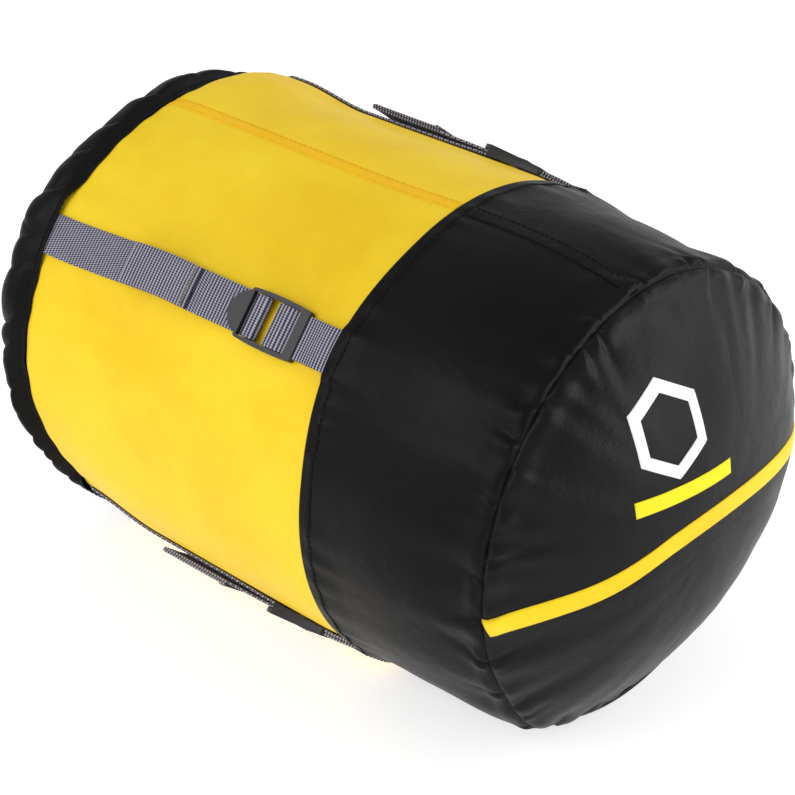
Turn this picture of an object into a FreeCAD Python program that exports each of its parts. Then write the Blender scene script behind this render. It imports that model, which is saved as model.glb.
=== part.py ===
import FreeCAD, Part
import math
import os
from types import SimpleNamespace

import Sketcher
from FreeCAD import Placement, Rotation, Vector

# A compression sack lying on its side: a black lower tube with a domed base, a yellow upper tube
# that ends in a drawcord mouth, and a lid over the mouth that four straps pull towards the base.
# X runs along the sack towards the base, +Z is up, and z = 0 is the floor under the flattened side.
# Profiles are drawn as (x, r), with r the distance from the sack's own axis.

doc = FreeCAD.newDocument("compression_sack")

# ---------------------------------------------------------------- driving sizes, in millimetres

DRIVING = {
    "axis_height": 111.5,        # of the sack's axis over the flattened side
    "inner_floor": 3.0,          # top of the flattened side, inside the walls
    "under_lid_floor": 1.6,      # underside of the upper wall where the lid goes round it
    "cloth": 1.0,
    "seam_x": 34.8,              # where the yellow wall meets the black one
    "seam_radius": 116.0,
    "shoulder_x": 70.0,          # where the lower wall starts to draw in
    "shoulder_bend": 209.0,
    "base_x": 130.4,
    "base_radius": 107.3,
    "dome_bend": 155.9,
    "dome_x": 17.3,              # centre of the domed base
    "stripe_height": 0.8,
    "stripe_width": 9.0,
    "stripe_bend": 280.0,
    "stripe_middle_y": 10.0,
    "stripe_middle_z": 12.1,
    "print_height": 0.3,
    "mark_radius": 21.0,
    "mark_line": 6.0,
    "mark_y": -24.0,
    "mark_z": 58.0,
    "bar_length": 56.0,
    "bar_width": 7.0,
    "bar_y": -20.0,
    "bar_z": 30.5,
    "hem_width": 7.0,
    "hem_height": 0.9,
    "side_seam_height": 0.6,
    "side_seam_angle": 3.2,
    "side_seam_place": 97.0,
    "binding_width": 2.0,
    "binding_height": 1.9,
    "wall_bend": 3350.0,         # the upper wall is slightly waisted
    "wall_end_x": -147.0,
    "wall_end_radius": 114.4,
    "rim_x": -156.0,
    "rim_radius": 108.6,
    "dish_x": -143.5,            # outer face of the gathered mouth
    "dish_radius": 90.0,
    "neck_radius": 35.2,
    "neck_end_x": -148.4,
    "tunnel_x": -152.0,
    "tunnel_radius": 32.0,
    "tunnel_outer": 4.2,
    "tunnel_inner": 3.0,
    "cord_radius": 1.4,
    "cord_gap": 1.6,             # from the middle to each leg of the drawcord
    "cord_bend": 4.0,
    "cord_end": 86.0,
    "eyelet_inner": 3.7,
    "eyelet_outer": 5.8,
    "eyelet_height": 0.8,
    "lock_height": 50.0,
    "lock_radius": 6.0,
    "lock_bore": 4.2,
    "lock_back": 12.5,
    "lock_front": 8.5,
    "lock_floor": 11.0,
    "lock_window": 3.3,
    "lock_window_depth": 3.4,
    "button_radius": 4.0,
    "button_back": 4.4,
    "button_front": 13.0,
    "button_travel": 4.0,
    "spring_wire": 0.35,
    "spring_radius": 3.0,
    "spring_turns": 3.5,
    "lid_edge_x": -149.2,
    "lid_radius": 118.2,
    "lid_cloth": 0.9,
    "lid_floor": 1.3,
    "lid_bend": 13.0,
    "lid_turn_x": -157.0,
    "lid_top_x": -173.8,
    "lid_hem_width": 6.0,
    "lid_hem_height": 0.7,
    "lid_binding_inner": 104.2,
    "lid_binding_outer": 107.6,
    "lid_binding_height": 0.8,
    "webbing_width": 20.0,
    "webbing": 1.4,
    "strap_place": 51.0,         # angle of the first strap round the axis, from +Y
    "strap_end_x": -158.0,
    "strap_lid_radius": 115.2,
    "run_radius": 116.7,         # underside of the strap at the buckle
    "run_end_x": -13.0,
    "body_gap": 0.3,             # between webbing pieces that move apart
    "tail_radius": 119.3,
    "tail_fold_x": -49.6,
    "tail_end_x": -93.3,
    "slot_radius": 0.9,
    "bar_clearance": 0.2,
    "buckle_left": -18.0,
    "buckle_right": 14.7,
    "buckle_end_half": 11.6,
    "buckle_bow_half": 12.5,
    "buckle_inside_half": 10.3,
    "buckle_corner": 1.3,
    "buckle_bottom": 116.5,
    "tab_tip_x": -25.8,
    "tab_root_x": -16.6,
    "tab_under_root": 119.9,
    "tab_under_tip": 120.6,
    "tab_top": 123.0,
    "end_bar_top": 119.9,
    "end_bar_x": 9.9,
    "end_bar_under": 119.4,
    "middle_bar_left": -12.4,
    "middle_bar_right": -10.2,
    "middle_bar_under": 118.3,
    "middle_bar_top": 120.3,
    "fixed_bar_left": -0.6,
    "fixed_bar_right": 3.6,
    "fixed_bar_under": 117.9,
    "fixed_bar_top": 119.9,
    "fixed_low": 116.3,          # underside of the lower layer of the fixed webbing
}

STRAPS = 4

sheet = doc.addObject("Spreadsheet::Sheet", "Sizes")


class Size:
    """A length and the sheet expression that gives it."""

    def __init__(self, value, text):
        self.value = value
        self.text = text

    def joined(self, sign, other, value):
        text = other.text if isinstance(other, Size) else repr(other)
        return Size(value, "(%s %s %s)" % (self.text, sign, text))

    def __add__(self, other):
        return self.joined("+", other, self.value + number(other))

    def __sub__(self, other):
        return self.joined("-", other, self.value - number(other))

    def __mul__(self, other):
        return self.joined("*", other, self.value * number(other))

    def __truediv__(self, other):
        return self.joined("/", other, self.value / number(other))

    def __neg__(self):
        return Size(-self.value, "(0 - %s)" % self.text)


def number(size):
    return size.value if isinstance(size, Size) else size


def read_sizes():
    """Fills the sheet, and gives each alias as an attribute."""
    dims = SimpleNamespace()
    for row, (alias, value) in enumerate(DRIVING.items(), start=1):
        sheet.set("A%d" % row, alias)
        sheet.set("B%d" % row, str(value))
        sheet.setAlias("B%d" % row, alias)
        setattr(dims, alias, Size(value, "Sizes.%s" % alias))
    doc.recompute()
    return dims


dim = read_sizes()
ZERO = dim.cloth - dim.cloth

parts = []


def bind(thing, **sizes):
    """Binds properties of an object to sizes from the sheet."""
    for name, size in sizes.items():
        if isinstance(size, Size):
            thing.setExpression(name, size.text)
        else:
            setattr(thing, name, size)


def sub_part(thing, label):
    """Names a finished sub-part, which also names its file."""
    thing.Label = label
    parts.append(thing)
    return thing


# ---------------------------------------------------------------- sketches and bodies

def new_body(name, angle=0.0):
    """A body whose local axis is the sack's axis, turned about it by an angle."""
    body = doc.addObject("PartDesign::Body", name)
    turn = Rotation(Vector(1, 0, 0), angle)
    body.Placement = Placement(Vector(0, 0, dim.axis_height.value), turn)
    body.setExpression("Placement.Base.z", dim.axis_height.text)
    return body


def new_sketch(body, name, plane, offset=None):
    sketch = body.newObject("Sketcher::SketchObject", name)
    for feature in body.Origin.OriginFeatures:
        if feature.Role == plane:
            sketch.AttachmentSupport = (feature, "")
    sketch.MapMode = "FlatFace"
    if offset is not None:
        sketch.setExpression("AttachmentOffset.Base.z", offset.text)
    return sketch


def arc_between(start, end, radius, side):
    """An arc shorter than half a turn; side 1 keeps its centre on the left of start to end."""
    chord = end - start
    half = chord.Length / 2
    reach = math.sqrt(max(radius * radius - half * half, 0.0))
    left = Vector(-chord.y, chord.x, 0).normalize()
    centre = (start + end) / 2 + left * (reach * side)
    first, last = (start, end) if side > 0 else (end, start)
    circle = Part.Circle(centre, Vector(0, 0, 1), radius)
    angles = [math.atan2(p.y - centre.y, p.x - centre.x) for p in (first, last)]
    return Part.ArcOfCircle(circle, angles[0], angles[1])


def pin(sketch, geometry, end, point):
    """Ties a vertex of the sketch to its two coordinates."""
    for kind, size in zip(("DistanceX", "DistanceY"), point):
        if abs(size.value) < 1e-9:
            axis = -2 if kind == "DistanceX" else -1
            sketch.addConstraint(Sketcher.Constraint("PointOnObject", geometry, end, axis))
        else:
            rule = Sketcher.Constraint(kind, -1, 1, geometry, end, size.value)
            index = sketch.addConstraint(rule)
            sketch.setExpression("Constraints[%d]" % index, size.text)


def draw(sketch, points, arcs=None, closed=True):
    """Draws an outline through (x, y) sizes; arcs maps an edge's index to (radius, side)."""
    arcs = arcs or {}
    count = len(points) if closed else len(points) - 1
    vectors = [Vector(x.value, y.value, 0) for x, y in points]
    ends = []
    for i in range(count):
        start, end = vectors[i], vectors[(i + 1) % len(points)]
        if i in arcs:
            radius, side = arcs[i]
            index = sketch.addGeometry(arc_between(start, end, radius.value, side))
            rule = Sketcher.Constraint("Radius", index, radius.value)
            constraint = sketch.addConstraint(rule)
            sketch.setExpression("Constraints[%d]" % constraint, radius.text)
            ends.append((index, 1, 2) if side > 0 else (index, 2, 1))
        else:
            index = sketch.addGeometry(Part.LineSegment(start, end))
            ends.append((index, 1, 2))
        pin(sketch, index, ends[-1][1], points[i])
    for i in range(count if closed else count - 1):
        after = ends[(i + 1) % count]
        rule = Sketcher.Constraint("Coincident", ends[i][0], ends[i][2], after[0], after[1])
        sketch.addConstraint(rule)
    if not closed:
        pin(sketch, ends[-1][0], ends[-1][2], points[-1])


def revolved(name, points, arcs=None, sweep=None, place=90.0):
    """A body made by turning an (x, r) outline about the sack's axis."""
    body = new_body(name, place - 90.0)
    sketch = new_sketch(body, name + "_profile", "XZ_Plane")
    draw(sketch, points, arcs)
    turned = body.newObject("PartDesign::Revolution", name + "_turned")
    turned.Profile = sketch
    turned.ReferenceAxis = (sketch, ["H_Axis"])
    turned.Midplane = sweep is not None
    bind(turned, Angle=sweep if sweep is not None else 360.0)
    return body


def padded(name, points, width, place):
    """A body made by padding an (x, r) outline to both sides of its plane."""
    body = new_body(name, place - 90.0)
    sketch = new_sketch(body, name + "_profile", "XZ_Plane")
    draw(sketch, points)
    pad = body.newObject("PartDesign::Pad", name + "_pad")
    pad.Profile = sketch
    pad.Midplane = True
    bind(pad, Length=width)
    return body


def webbing_sweep(name, points, arcs, place):
    """Webbing swept along an (x, r) path whose first run lies along the axis."""
    body = new_body(name, place - 90.0)
    path = new_sketch(body, name + "_path", "XZ_Plane")
    draw(path, points, arcs, closed=False)
    start_x, start_r = points[0]
    section = new_sketch(body, name + "_section", "YZ_Plane", start_x)
    half = dim.webbing_width / 2
    low = start_r - dim.webbing / 2
    high = start_r + dim.webbing / 2
    draw(section, [(-half, low), (half, low), (half, high), (-half, high)])
    doc.recompute()
    pipe = body.newObject("PartDesign::AdditivePipe", name + "_pipe")
    pipe.Profile = section
    pipe.Spine = (path, ["Edge%d" % (i + 1) for i in range(len(points) - 1)])
    return body


def cut(name, base, tool):
    result = doc.addObject("Part::Cut", name)
    result.Base = base
    result.Tool = tool
    return result


def block(name, low, size):
    """A box from its lowest corner; every number is a size from the sheet."""
    result = doc.addObject("Part::Box", name)
    bind(result, Length=size[0], Width=size[1], Height=size[2])
    for axis, value in zip("xyz", low):
        result.setExpression("Placement.Base.%s" % axis, value.text)
    return result


REACH = dim.cloth * 400    # longer than the sack


def below(name, x, length, level):
    """Everything under a level, over a stretch of the sack."""
    return block(name, (x, -REACH / 2, level - REACH), (length, REACH, REACH))


def flattened(name, outer, inner, cuts, inner_level):
    """The wall between two turned solids, each flattened underneath."""
    solid = outer
    for i, under in enumerate(cuts):
        solid = cut("%s_flat_%d" % (name, i), solid, under)
    hollow_floor = below(name + "_inner_floor", -REACH / 2, REACH, inner_level)
    hollow = cut(name + "_hollow", inner, hollow_floor)
    return cut(name + "_wall", solid, hollow)


def floor(name):
    return below(name + "_floor", -REACH / 2, REACH, ZERO)


# ---------------------------------------------------------------- lower end

def lower_wall():
    def tube(name, inset, reach):
        points = [
            (dim.seam_x - reach, ZERO),
            (dim.seam_x - reach, dim.seam_radius - inset),
            (dim.shoulder_x, dim.seam_radius - inset),
            (dim.base_x, dim.base_radius - inset),
            (dim.base_x + reach, dim.base_radius - inset - reach),
            (dim.base_x + reach, ZERO),
        ]
        if reach is ZERO:
            del points[4]
        return revolved(name, points, {2: (dim.shoulder_bend - inset, -1)})

    outer = tube("lower_outer", ZERO, ZERO)
    inner = tube("lower_inner", dim.cloth, dim.cloth)
    sub_part(flattened("lower", outer, inner, [floor("lower")], dim.inner_floor), "lower_wall")


def dome_skin(name, low, high):
    """A layer over the domed base, between two heights above its cloth."""
    reach = dim.base_radius - dim.cloth * 2
    inner, outer = dim.dome_bend + low, dim.dome_bend + high

    def rim_x(radius):
        value = dim.dome_x.value + math.sqrt(radius.value ** 2 - reach.value ** 2)
        names = (dim.dome_x.text, radius.text, radius.text, reach.text, reach.text)
        return Size(value, "(%s + sqrt(%s * %s - %s * %s))" % names)

    points = [
        (dim.dome_x + inner, ZERO),
        (dim.dome_x + outer, ZERO),
        (rim_x(outer), reach),
        (rim_x(inner), reach),
    ]
    return revolved(name, points, {1: (outer, 1), 3: (inner, -1)})


def on_dome(label, shape, height):
    """The part of a layer over the dome that lies inside another shape."""
    skin = dome_skin(label + "_skin", ZERO, height)
    common = doc.addObject("Part::MultiCommon", label + "_common")
    common.Shapes = [skin, shape]
    return sub_part(common, label)


def base_panel():
    inner_rim = dim.base_radius - dim.cloth * 1.45
    apex = dim.dome_x + dim.dome_bend
    points = [
        (apex - dim.cloth, ZERO),
        (apex, ZERO),
        (dim.base_x, dim.base_radius),
        (dim.base_x, inner_rim),
    ]
    arcs = {1: (dim.dome_bend, 1), 3: (dim.dome_bend - dim.cloth, -1)}
    sub_part(revolved("base_panel_body", points, arcs), "base_panel")


def base_stripe():
    """A yellow band across the dome, between two cylinders along the sack."""
    rods = []
    for name, half in (("stripe_outside", 0.5), ("stripe_inside", -0.5)):
        rod = doc.addObject("Part::Cylinder", name)
        rod.Placement.Rotation = Rotation(Vector(0, 1, 0), 90)
        bind(rod, Radius=dim.stripe_bend + dim.stripe_width * half, Height=REACH)
        centre_z = dim.axis_height + dim.stripe_middle_z - dim.stripe_bend
        rod.setExpression("Placement.Base.y", dim.stripe_middle_y.text)
        rod.setExpression("Placement.Base.z", centre_z.text)
        rods.append(rod)
    band = cut("stripe_band", rods[0], rods[1])
    on_dome("base_stripe", band, dim.stripe_height)


def base_print():
    """A plain hexagon outline over a plain bar, printed on the dome."""
    prisms = []
    for name, inset in (("mark_outside", ZERO), ("mark_inside", dim.mark_line)):
        prism = doc.addObject("Part::Prism", name)
        prism.Polygon = 6
        prism.Placement.Rotation = Rotation(Vector(0, 1, 0), 90)
        bind(prism, Circumradius=dim.mark_radius - inset, Height=REACH)
        prism.setExpression("Placement.Base.y", dim.mark_y.text)
        prism.setExpression("Placement.Base.z", (dim.axis_height + dim.mark_z).text)
        prisms.append(prism)
    outline = cut("mark_outline", prisms[0], prisms[1])
    on_dome("base_mark", outline, dim.print_height)
    low = dim.axis_height + dim.bar_z - dim.bar_width / 2
    place = (ZERO, dim.bar_y - dim.bar_length / 2, low)
    bar = block("bar_block", place, (REACH, dim.bar_length, dim.bar_width))
    on_dome("base_bar", bar, dim.print_height)


def seam_hem():
    ring = [
        (dim.seam_x, dim.seam_radius),
        (dim.seam_x, dim.seam_radius + dim.hem_height),
        (dim.seam_x + dim.hem_width, dim.seam_radius + dim.hem_height),
        (dim.seam_x + dim.hem_width, dim.seam_radius),
    ]
    body = revolved("hem_body", ring)
    sub_part(cut("hem_cut", body, floor("hem")), "seam_hem")


def base_binding():
    """The bound edge of the base seam, inside the sack."""
    outer = dim.base_radius - dim.cloth * 1.6
    ring = [
        (dim.base_x - dim.binding_width, outer - dim.binding_height),
        (dim.base_x - dim.binding_width, outer),
        (dim.base_x, outer),
        (dim.base_x, outer - dim.binding_height),
    ]
    sub_part(revolved("binding_body", ring), "base_binding")


def lower_side_seam():
    """The felled seam along the lower wall."""
    high = dim.side_seam_height
    start = dim.seam_x + dim.hem_width
    points = [
        (start, dim.seam_radius),
        (start, dim.seam_radius + high),
        (dim.shoulder_x, dim.seam_radius + high),
        (dim.base_x, dim.base_radius + high),
        (dim.base_x, dim.base_radius),
        (dim.shoulder_x, dim.seam_radius),
    ]
    arcs = {2: (dim.shoulder_bend + high, -1), 4: (dim.shoulder_bend, 1)}
    place = dim.side_seam_place.value
    body = revolved("lower_seam_body", points, arcs, dim.side_seam_angle, place)
    sub_part(body, "lower_side_seam")


# ---------------------------------------------------------------- upper wall and mouth

def upper_wall():
    def tube(name, inset, reach):
        points = [
            (dim.rim_x - reach, ZERO),
            (dim.rim_x - reach, dim.rim_radius - inset),
            (dim.wall_end_x, dim.wall_end_radius - inset),
            (dim.seam_x + reach, dim.seam_radius - inset),
            (dim.seam_x + reach, ZERO),
        ]
        return revolved(name, points, {2: (dim.wall_bend + inset, 1)})

    outer = tube("upper_outer", ZERO, ZERO)
    inner = tube("upper_inner", dim.cloth, dim.cloth)
    length = REACH / 2 + dim.lid_edge_x
    under_lid = below("upper_under_lid", -REACH / 2, length, dim.under_lid_floor)
    cuts = [floor("upper"), under_lid]
    sub_part(flattened("upper", outer, inner, cuts, dim.inner_floor), "upper_wall")


def upper_side_seam():
    """The felled seam along the upper wall."""
    high = dim.side_seam_height
    points = [
        (dim.wall_end_x, dim.wall_end_radius),
        (dim.wall_end_x, dim.wall_end_radius + high),
        (dim.seam_x, dim.seam_radius + high),
        (dim.seam_x, dim.seam_radius),
    ]
    arcs = {1: (dim.wall_bend - high, 1), 3: (dim.wall_bend, -1)}
    place = dim.side_seam_place.value
    body = revolved("upper_seam_body", points, arcs, dim.side_seam_angle, place)
    sub_part(body, "upper_side_seam")


def mouth_shoulder():
    """The gathered end of the upper wall, dished in to a short neck."""
    cloth = dim.cloth
    rim = dim.rim_radius - cloth - dim.body_gap
    points = [
        (dim.rim_x, rim),
        (dim.dish_x, dim.dish_radius),
        (dim.dish_x, dim.neck_radius),
        (dim.neck_end_x, dim.neck_radius),
        (dim.neck_end_x, dim.neck_radius - cloth),
        (dim.dish_x + cloth, dim.neck_radius - cloth),
        (dim.dish_x + cloth, dim.dish_radius),
        (dim.rim_x + cloth, rim),
    ]
    sub_part(revolved("mouth_body", points), "mouth_shoulder")


def torus(name, tube_radius):
    """A ring round the sack's axis at the mouth."""
    ring = doc.addObject("Part::Torus", name)
    ring.Placement.Rotation = Rotation(Vector(0, 1, 0), 90)
    bind(ring, Radius1=dim.tunnel_radius, Radius2=tube_radius)
    ring.setExpression("Placement.Base.x", dim.tunnel_x.text)
    ring.setExpression("Placement.Base.z", dim.axis_height.text)
    return ring


def upright(name, radius, height, low):
    """A cylinder standing over the mouth's ring, from a height above the axis."""
    rod = doc.addObject("Part::Cylinder", name)
    bind(rod, Radius=radius, Height=height)
    rod.setExpression("Placement.Base.x", dim.tunnel_x.text)
    rod.setExpression("Placement.Base.z", (dim.axis_height + low).text)
    return rod


def cord_tunnel():
    tube = cut(
        "tunnel_tube",
        torus("tunnel_outside", dim.tunnel_outer), torus("tunnel_inside", dim.tunnel_inner),
    )
    hole = upright("tunnel_hole", dim.eyelet_inner, dim.tunnel_radius, dim.tunnel_radius)
    sub_part(cut("tunnel_holed", tube, hole), "cord_tunnel")


def tunnel_eyelet():
    low = dim.tunnel_radius + dim.tunnel_outer
    washer = cut(
        "eyelet_washer",
        upright("eyelet_disc", dim.eyelet_outer, dim.eyelet_height, low),
        upright("eyelet_hole", dim.eyelet_inner, dim.eyelet_height, low),
    )
    sub_part(washer, "tunnel_eyelet")


def drawcord():
    """A cord round the tunnel whose two legs leave it side by side, up to the cord lock."""
    ring, bend, gap = dim.tunnel_radius.value, dim.cord_bend.value, dim.cord_gap.value
    centre_y = gap + bend
    centre_z = math.sqrt((ring + bend) ** 2 - centre_y ** 2)
    touch = Vector(0, centre_y, centre_z) * (ring / (ring + bend))
    middle = Vector(0, centre_y - gap - bend, centre_z)
    half_way = (touch - Vector(0, centre_y, centre_z)).normalize() + Vector(0, -1, 0)
    turn = Vector(0, centre_y, centre_z) + half_way.normalize() * bend
    leg = Vector(0, gap, middle.z)
    top = Vector(0, gap, dim.cord_end.value)

    def mirrored(point):
        return Vector(0, -point.y, point.z)

    edges = [
        Part.LineSegment(top, leg),
        Part.Arc(leg, turn, touch),
        Part.Arc(touch, Vector(0, 0, -ring), mirrored(touch)),
        Part.Arc(mirrored(touch), mirrored(turn), mirrored(leg)),
        Part.LineSegment(mirrored(leg), mirrored(top)),
    ]
    path = Part.Wire([edge.toShape() for edge in edges])
    section = Part.Wire(Part.makeCircle(dim.cord_radius.value, top, Vector(0, 0, 1)))
    cord = doc.addObject("Part::Feature", "cord")
    cord.Shape = path.makePipeShell([section], True, True)
    cord.Placement = Placement(Vector(dim.tunnel_x.value, 0, dim.axis_height.value), Rotation())
    sub_part(cord, "drawcord")


def lying(name, radius, start, end):
    """A cylinder along Y at the cord lock, between two distances from the sack's middle."""
    rod = doc.addObject("Part::Cylinder", name)
    rod.Placement.Rotation = Rotation(Vector(1, 0, 0), -90)
    bind(rod, Radius=radius, Height=end - start)
    rod.setExpression("Placement.Base.x", dim.tunnel_x.text)
    rod.setExpression("Placement.Base.y", start.text)
    rod.setExpression("Placement.Base.z", (dim.axis_height + dim.lock_height).text)
    return rod


def lock_window(name, start, end):
    """The way through the cord lock for both legs of the cord."""
    low = dim.axis_height + dim.lock_height - dim.lock_radius
    place = (dim.tunnel_x - dim.lock_window_depth / 2, start, low)
    return block(name, place, (dim.lock_window_depth, end - start, dim.lock_radius * 2))


def cord_lock():
    barrel = cut(
        "lock_barrel",
        lying("lock_outside", dim.lock_radius, -dim.lock_back, dim.lock_front),
        lying("lock_bore_rod", dim.lock_bore, -dim.lock_floor, dim.lock_front),
    )
    window = lock_window("lock_hole", -dim.lock_window, dim.lock_window)
    sub_part(cut("lock_holed", barrel, window), "cord_lock_body")

    plug = lying("button_rod", dim.button_radius, -dim.button_back, dim.button_front)
    window_end = dim.lock_window + dim.button_travel
    window = lock_window("button_hole", -dim.lock_window, window_end)
    sub_part(cut("button_holed", plug, window), "cord_lock_button")


def cord_lock_spring():
    """A compression spring between the lock's floor and its button."""
    body = doc.addObject("PartDesign::Body", "spring_body")
    body.Placement.Rotation = Rotation(Vector(1, 0, 0), -90)
    body.setExpression("Placement.Base.x", dim.tunnel_x.text)
    wire = dim.spring_wire
    low = wire * 1.3 - dim.lock_floor
    body.setExpression("Placement.Base.y", low.text)
    body.setExpression("Placement.Base.z", (dim.axis_height + dim.lock_height).text)
    section = new_sketch(body, "spring_section", "XZ_Plane")
    centre = Vector(dim.spring_radius.value, 0, 0)
    section.addGeometry(Part.Circle(centre, Vector(0, 0, 1), wire.value))
    section.addConstraint(Sketcher.Constraint("PointOnObject", 0, 3, -1))
    for kind, size in (("Radius", wire), ("DistanceX", dim.spring_radius)):
        target = (0,) if kind == "Radius" else (-1, 1, 0, 3)
        index = section.addConstraint(Sketcher.Constraint(kind, *target, size.value))
        section.setExpression("Constraints[%d]" % index, size.text)
    coil = body.newObject("PartDesign::AdditiveHelix", "spring_coil")
    coil.Profile = section
    coil.ReferenceAxis = (section, ["V_Axis"])
    coil.Mode = "height-turns-angle"
    span = dim.lock_floor - dim.button_back - wire * 2.6
    bind(coil, Height=span, Turns=dim.spring_turns)
    sub_part(body, "cord_lock_spring")


# ---------------------------------------------------------------- lid

def lid_skirt():
    def cap(name, inset, reach):
        turn_end_x = dim.lid_turn_x - dim.lid_bend
        inner_radius = dim.lid_radius - dim.lid_bend
        points = [
            (dim.lid_edge_x + reach, ZERO),
            (dim.lid_edge_x + reach, dim.lid_radius - inset),
            (dim.lid_turn_x, dim.lid_radius - inset),
            (turn_end_x + inset, inner_radius),
            (turn_end_x - reach, inner_radius),
            (turn_end_x - reach, ZERO),
        ]
        if reach is ZERO:
            del points[4]
        return revolved(name, points, {2: (dim.lid_bend - inset, 1)})

    outer = cap("skirt_outer", ZERO, ZERO)
    inner = cap("skirt_inner", dim.lid_cloth, dim.cloth)
    sub_part(flattened("skirt", outer, inner, [floor("skirt")], dim.lid_floor), "lid_skirt")


def lid_hem():
    ring = [
        (dim.lid_edge_x, dim.lid_radius),
        (dim.lid_edge_x, dim.lid_radius + dim.lid_hem_height),
        (dim.lid_edge_x - dim.lid_hem_width, dim.lid_radius + dim.lid_hem_height),
        (dim.lid_edge_x - dim.lid_hem_width, dim.lid_radius),
    ]
    body = revolved("lid_hem_body", ring)
    sub_part(cut("lid_hem_cut", body, floor("lid_hem")), "lid_hem")


def lid_panel():
    rim_x = dim.lid_turn_x - dim.lid_bend
    rim_radius = dim.lid_radius - dim.lid_bend
    rise = rim_x.value - dim.lid_top_x.value
    bend = (rim_radius.value ** 2 + rise ** 2) / (2 * rise)
    bend_text = "((%s * %s + (%s) * (%s)) / (2 * (%s)))"
    rise_text = (rim_x - dim.lid_top_x).text
    names = (rim_radius.text, rim_radius.text, rise_text, rise_text, rise_text)
    dome = Size(bend, bend_text % names)
    points = [
        (dim.lid_top_x, ZERO),
        (rim_x, rim_radius),
        (rim_x + dim.lid_cloth, rim_radius),
        (dim.lid_top_x + dim.lid_cloth, ZERO),
    ]
    arcs = {0: (dome, -1), 2: (dome, 1)}
    sub_part(revolved("lid_panel_body", points, arcs), "lid_panel")


def lid_binding():
    """The piped seam round the lid's panel."""
    face = dim.lid_turn_x - dim.lid_bend - dim.cloth / 10
    ring = [
        (face, dim.lid_binding_inner),
        (face, dim.lid_binding_outer),
        (face - dim.lid_binding_height, dim.lid_binding_outer),
        (face - dim.lid_binding_height, dim.lid_binding_inner),
    ]
    sub_part(revolved("lid_binding_body", ring), "lid_binding")


# ---------------------------------------------------------------- straps and buckles

def strap_run(which, place):
    """The loaded strand, from under the lid's skirt to the buckle."""
    thick = dim.webbing
    points = [
        (dim.strap_end_x, dim.strap_lid_radius),
        (dim.run_end_x, dim.run_radius),
        (dim.run_end_x, dim.run_radius + thick),
        (dim.strap_end_x, dim.strap_lid_radius + thick),
    ]
    body = padded("run_body_%d" % which, points, dim.webbing_width, place)
    sub_part(body, "strap_run_%d" % which)


def strap_wrap(which, place):
    """The webbing round the middle bar, and down through the slot under the tab."""
    half = dim.webbing / 2
    low = dim.run_radius + half
    over = dim.middle_bar_top + dim.bar_clearance + half
    turn = (over - low) / 2
    right = dim.middle_bar_right
    drop_x = dim.middle_bar_left - dim.bar_clearance * 2 - half
    tail = dim.run_radius + dim.webbing + dim.bar_clearance + half
    slot = dim.slot_radius
    points = [
        (dim.run_end_x + dim.body_gap, low),
        (right, low),
        (right + turn, low + turn),
        (right, over),
        (drop_x + slot, over),
        (drop_x, over - slot),
        (drop_x, tail + slot),
        (drop_x - slot, tail),
        (dim.tab_root_x, tail),
    ]
    arcs = {1: (turn, 1), 2: (turn, 1), 4: (slot, 1), 6: (slot, -1)}
    body = webbing_sweep("wrap_body_%d" % which, points, arcs, place)
    sub_part(body, "strap_wrap_%d" % which)


def strap_neck(which, place):
    """The single part of the tail, from under the tab."""
    start = dim.tab_root_x - dim.body_gap
    low = dim.run_radius + dim.webbing + dim.bar_clearance
    thick = dim.webbing
    points = [
        (start, low),
        (start, low + thick),
        (dim.tail_fold_x, dim.tail_radius + thick),
        (dim.tail_fold_x, dim.tail_radius),
    ]
    body = padded("neck_body_%d" % which, points, dim.webbing_width, place)
    sub_part(body, "strap_neck_%d" % which)


def strap_end(which, place):
    """The folded end of the tail, two layers thick."""
    start = dim.tail_fold_x - dim.body_gap
    high = dim.tail_radius + dim.webbing * 2
    points = [
        (start, dim.tail_radius),
        (start, high),
        (dim.tail_end_x, high),
        (dim.tail_end_x, dim.tail_radius),
    ]
    body = padded("end_body_%d" % which, points, dim.webbing_width, place)
    sub_part(body, "strap_end_%d" % which)


def fixed_webbing(which, place):
    """Two layers of webbing from the seam to the buckle's end bar."""
    start = dim.buckle_right + dim.body_gap
    end = dim.seam_x
    high = dim.fixed_low + dim.webbing * 2 + dim.cloth / 10
    points = [
        (start, dim.fixed_low),
        (end, dim.fixed_low),
        (end, high),
        (start, high),
    ]
    body = padded("fixed_body_%d" % which, points, dim.webbing_width, place)
    sub_part(body, "fixed_webbing_%d" % which)


def fixed_loop(which, place):
    """The webbing that goes round the fixed bar and back under the end bar."""
    half = dim.webbing / 2
    low = dim.fixed_low + half
    over = dim.fixed_bar_top + dim.bar_clearance + half
    back = low + dim.webbing + dim.cloth / 10
    turn = (over - low) / 2
    left = dim.fixed_bar_left + dim.body_gap
    crest = dim.fixed_bar_right + dim.cloth / 10
    foot = dim.end_bar_x - dim.cloth / 2
    drop = over - back
    half_way = (crest + foot) / 2
    value = ((foot - crest).value ** 2 + drop.value ** 2) / (4 * drop.value)
    run = (foot - crest).text
    text = "((%s * %s + %s * %s) / (4 * %s))" % (run, run, drop.text, drop.text, drop.text)
    sway = Size(value, text)
    points = [
        (dim.buckle_right, low),
        (left, low),
        (left - turn, low + turn),
        (left, over),
        (crest, over),
        (half_way, back + drop / 2),
        (foot, back),
        (dim.buckle_right, back),
    ]
    arcs = {1: (turn, -1), 2: (turn, -1), 4: (sway, -1), 5: (sway, 1)}
    body = webbing_sweep("loop_body_%d" % which, points, arcs, place)
    sub_part(body, "fixed_loop_%d" % which)


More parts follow.
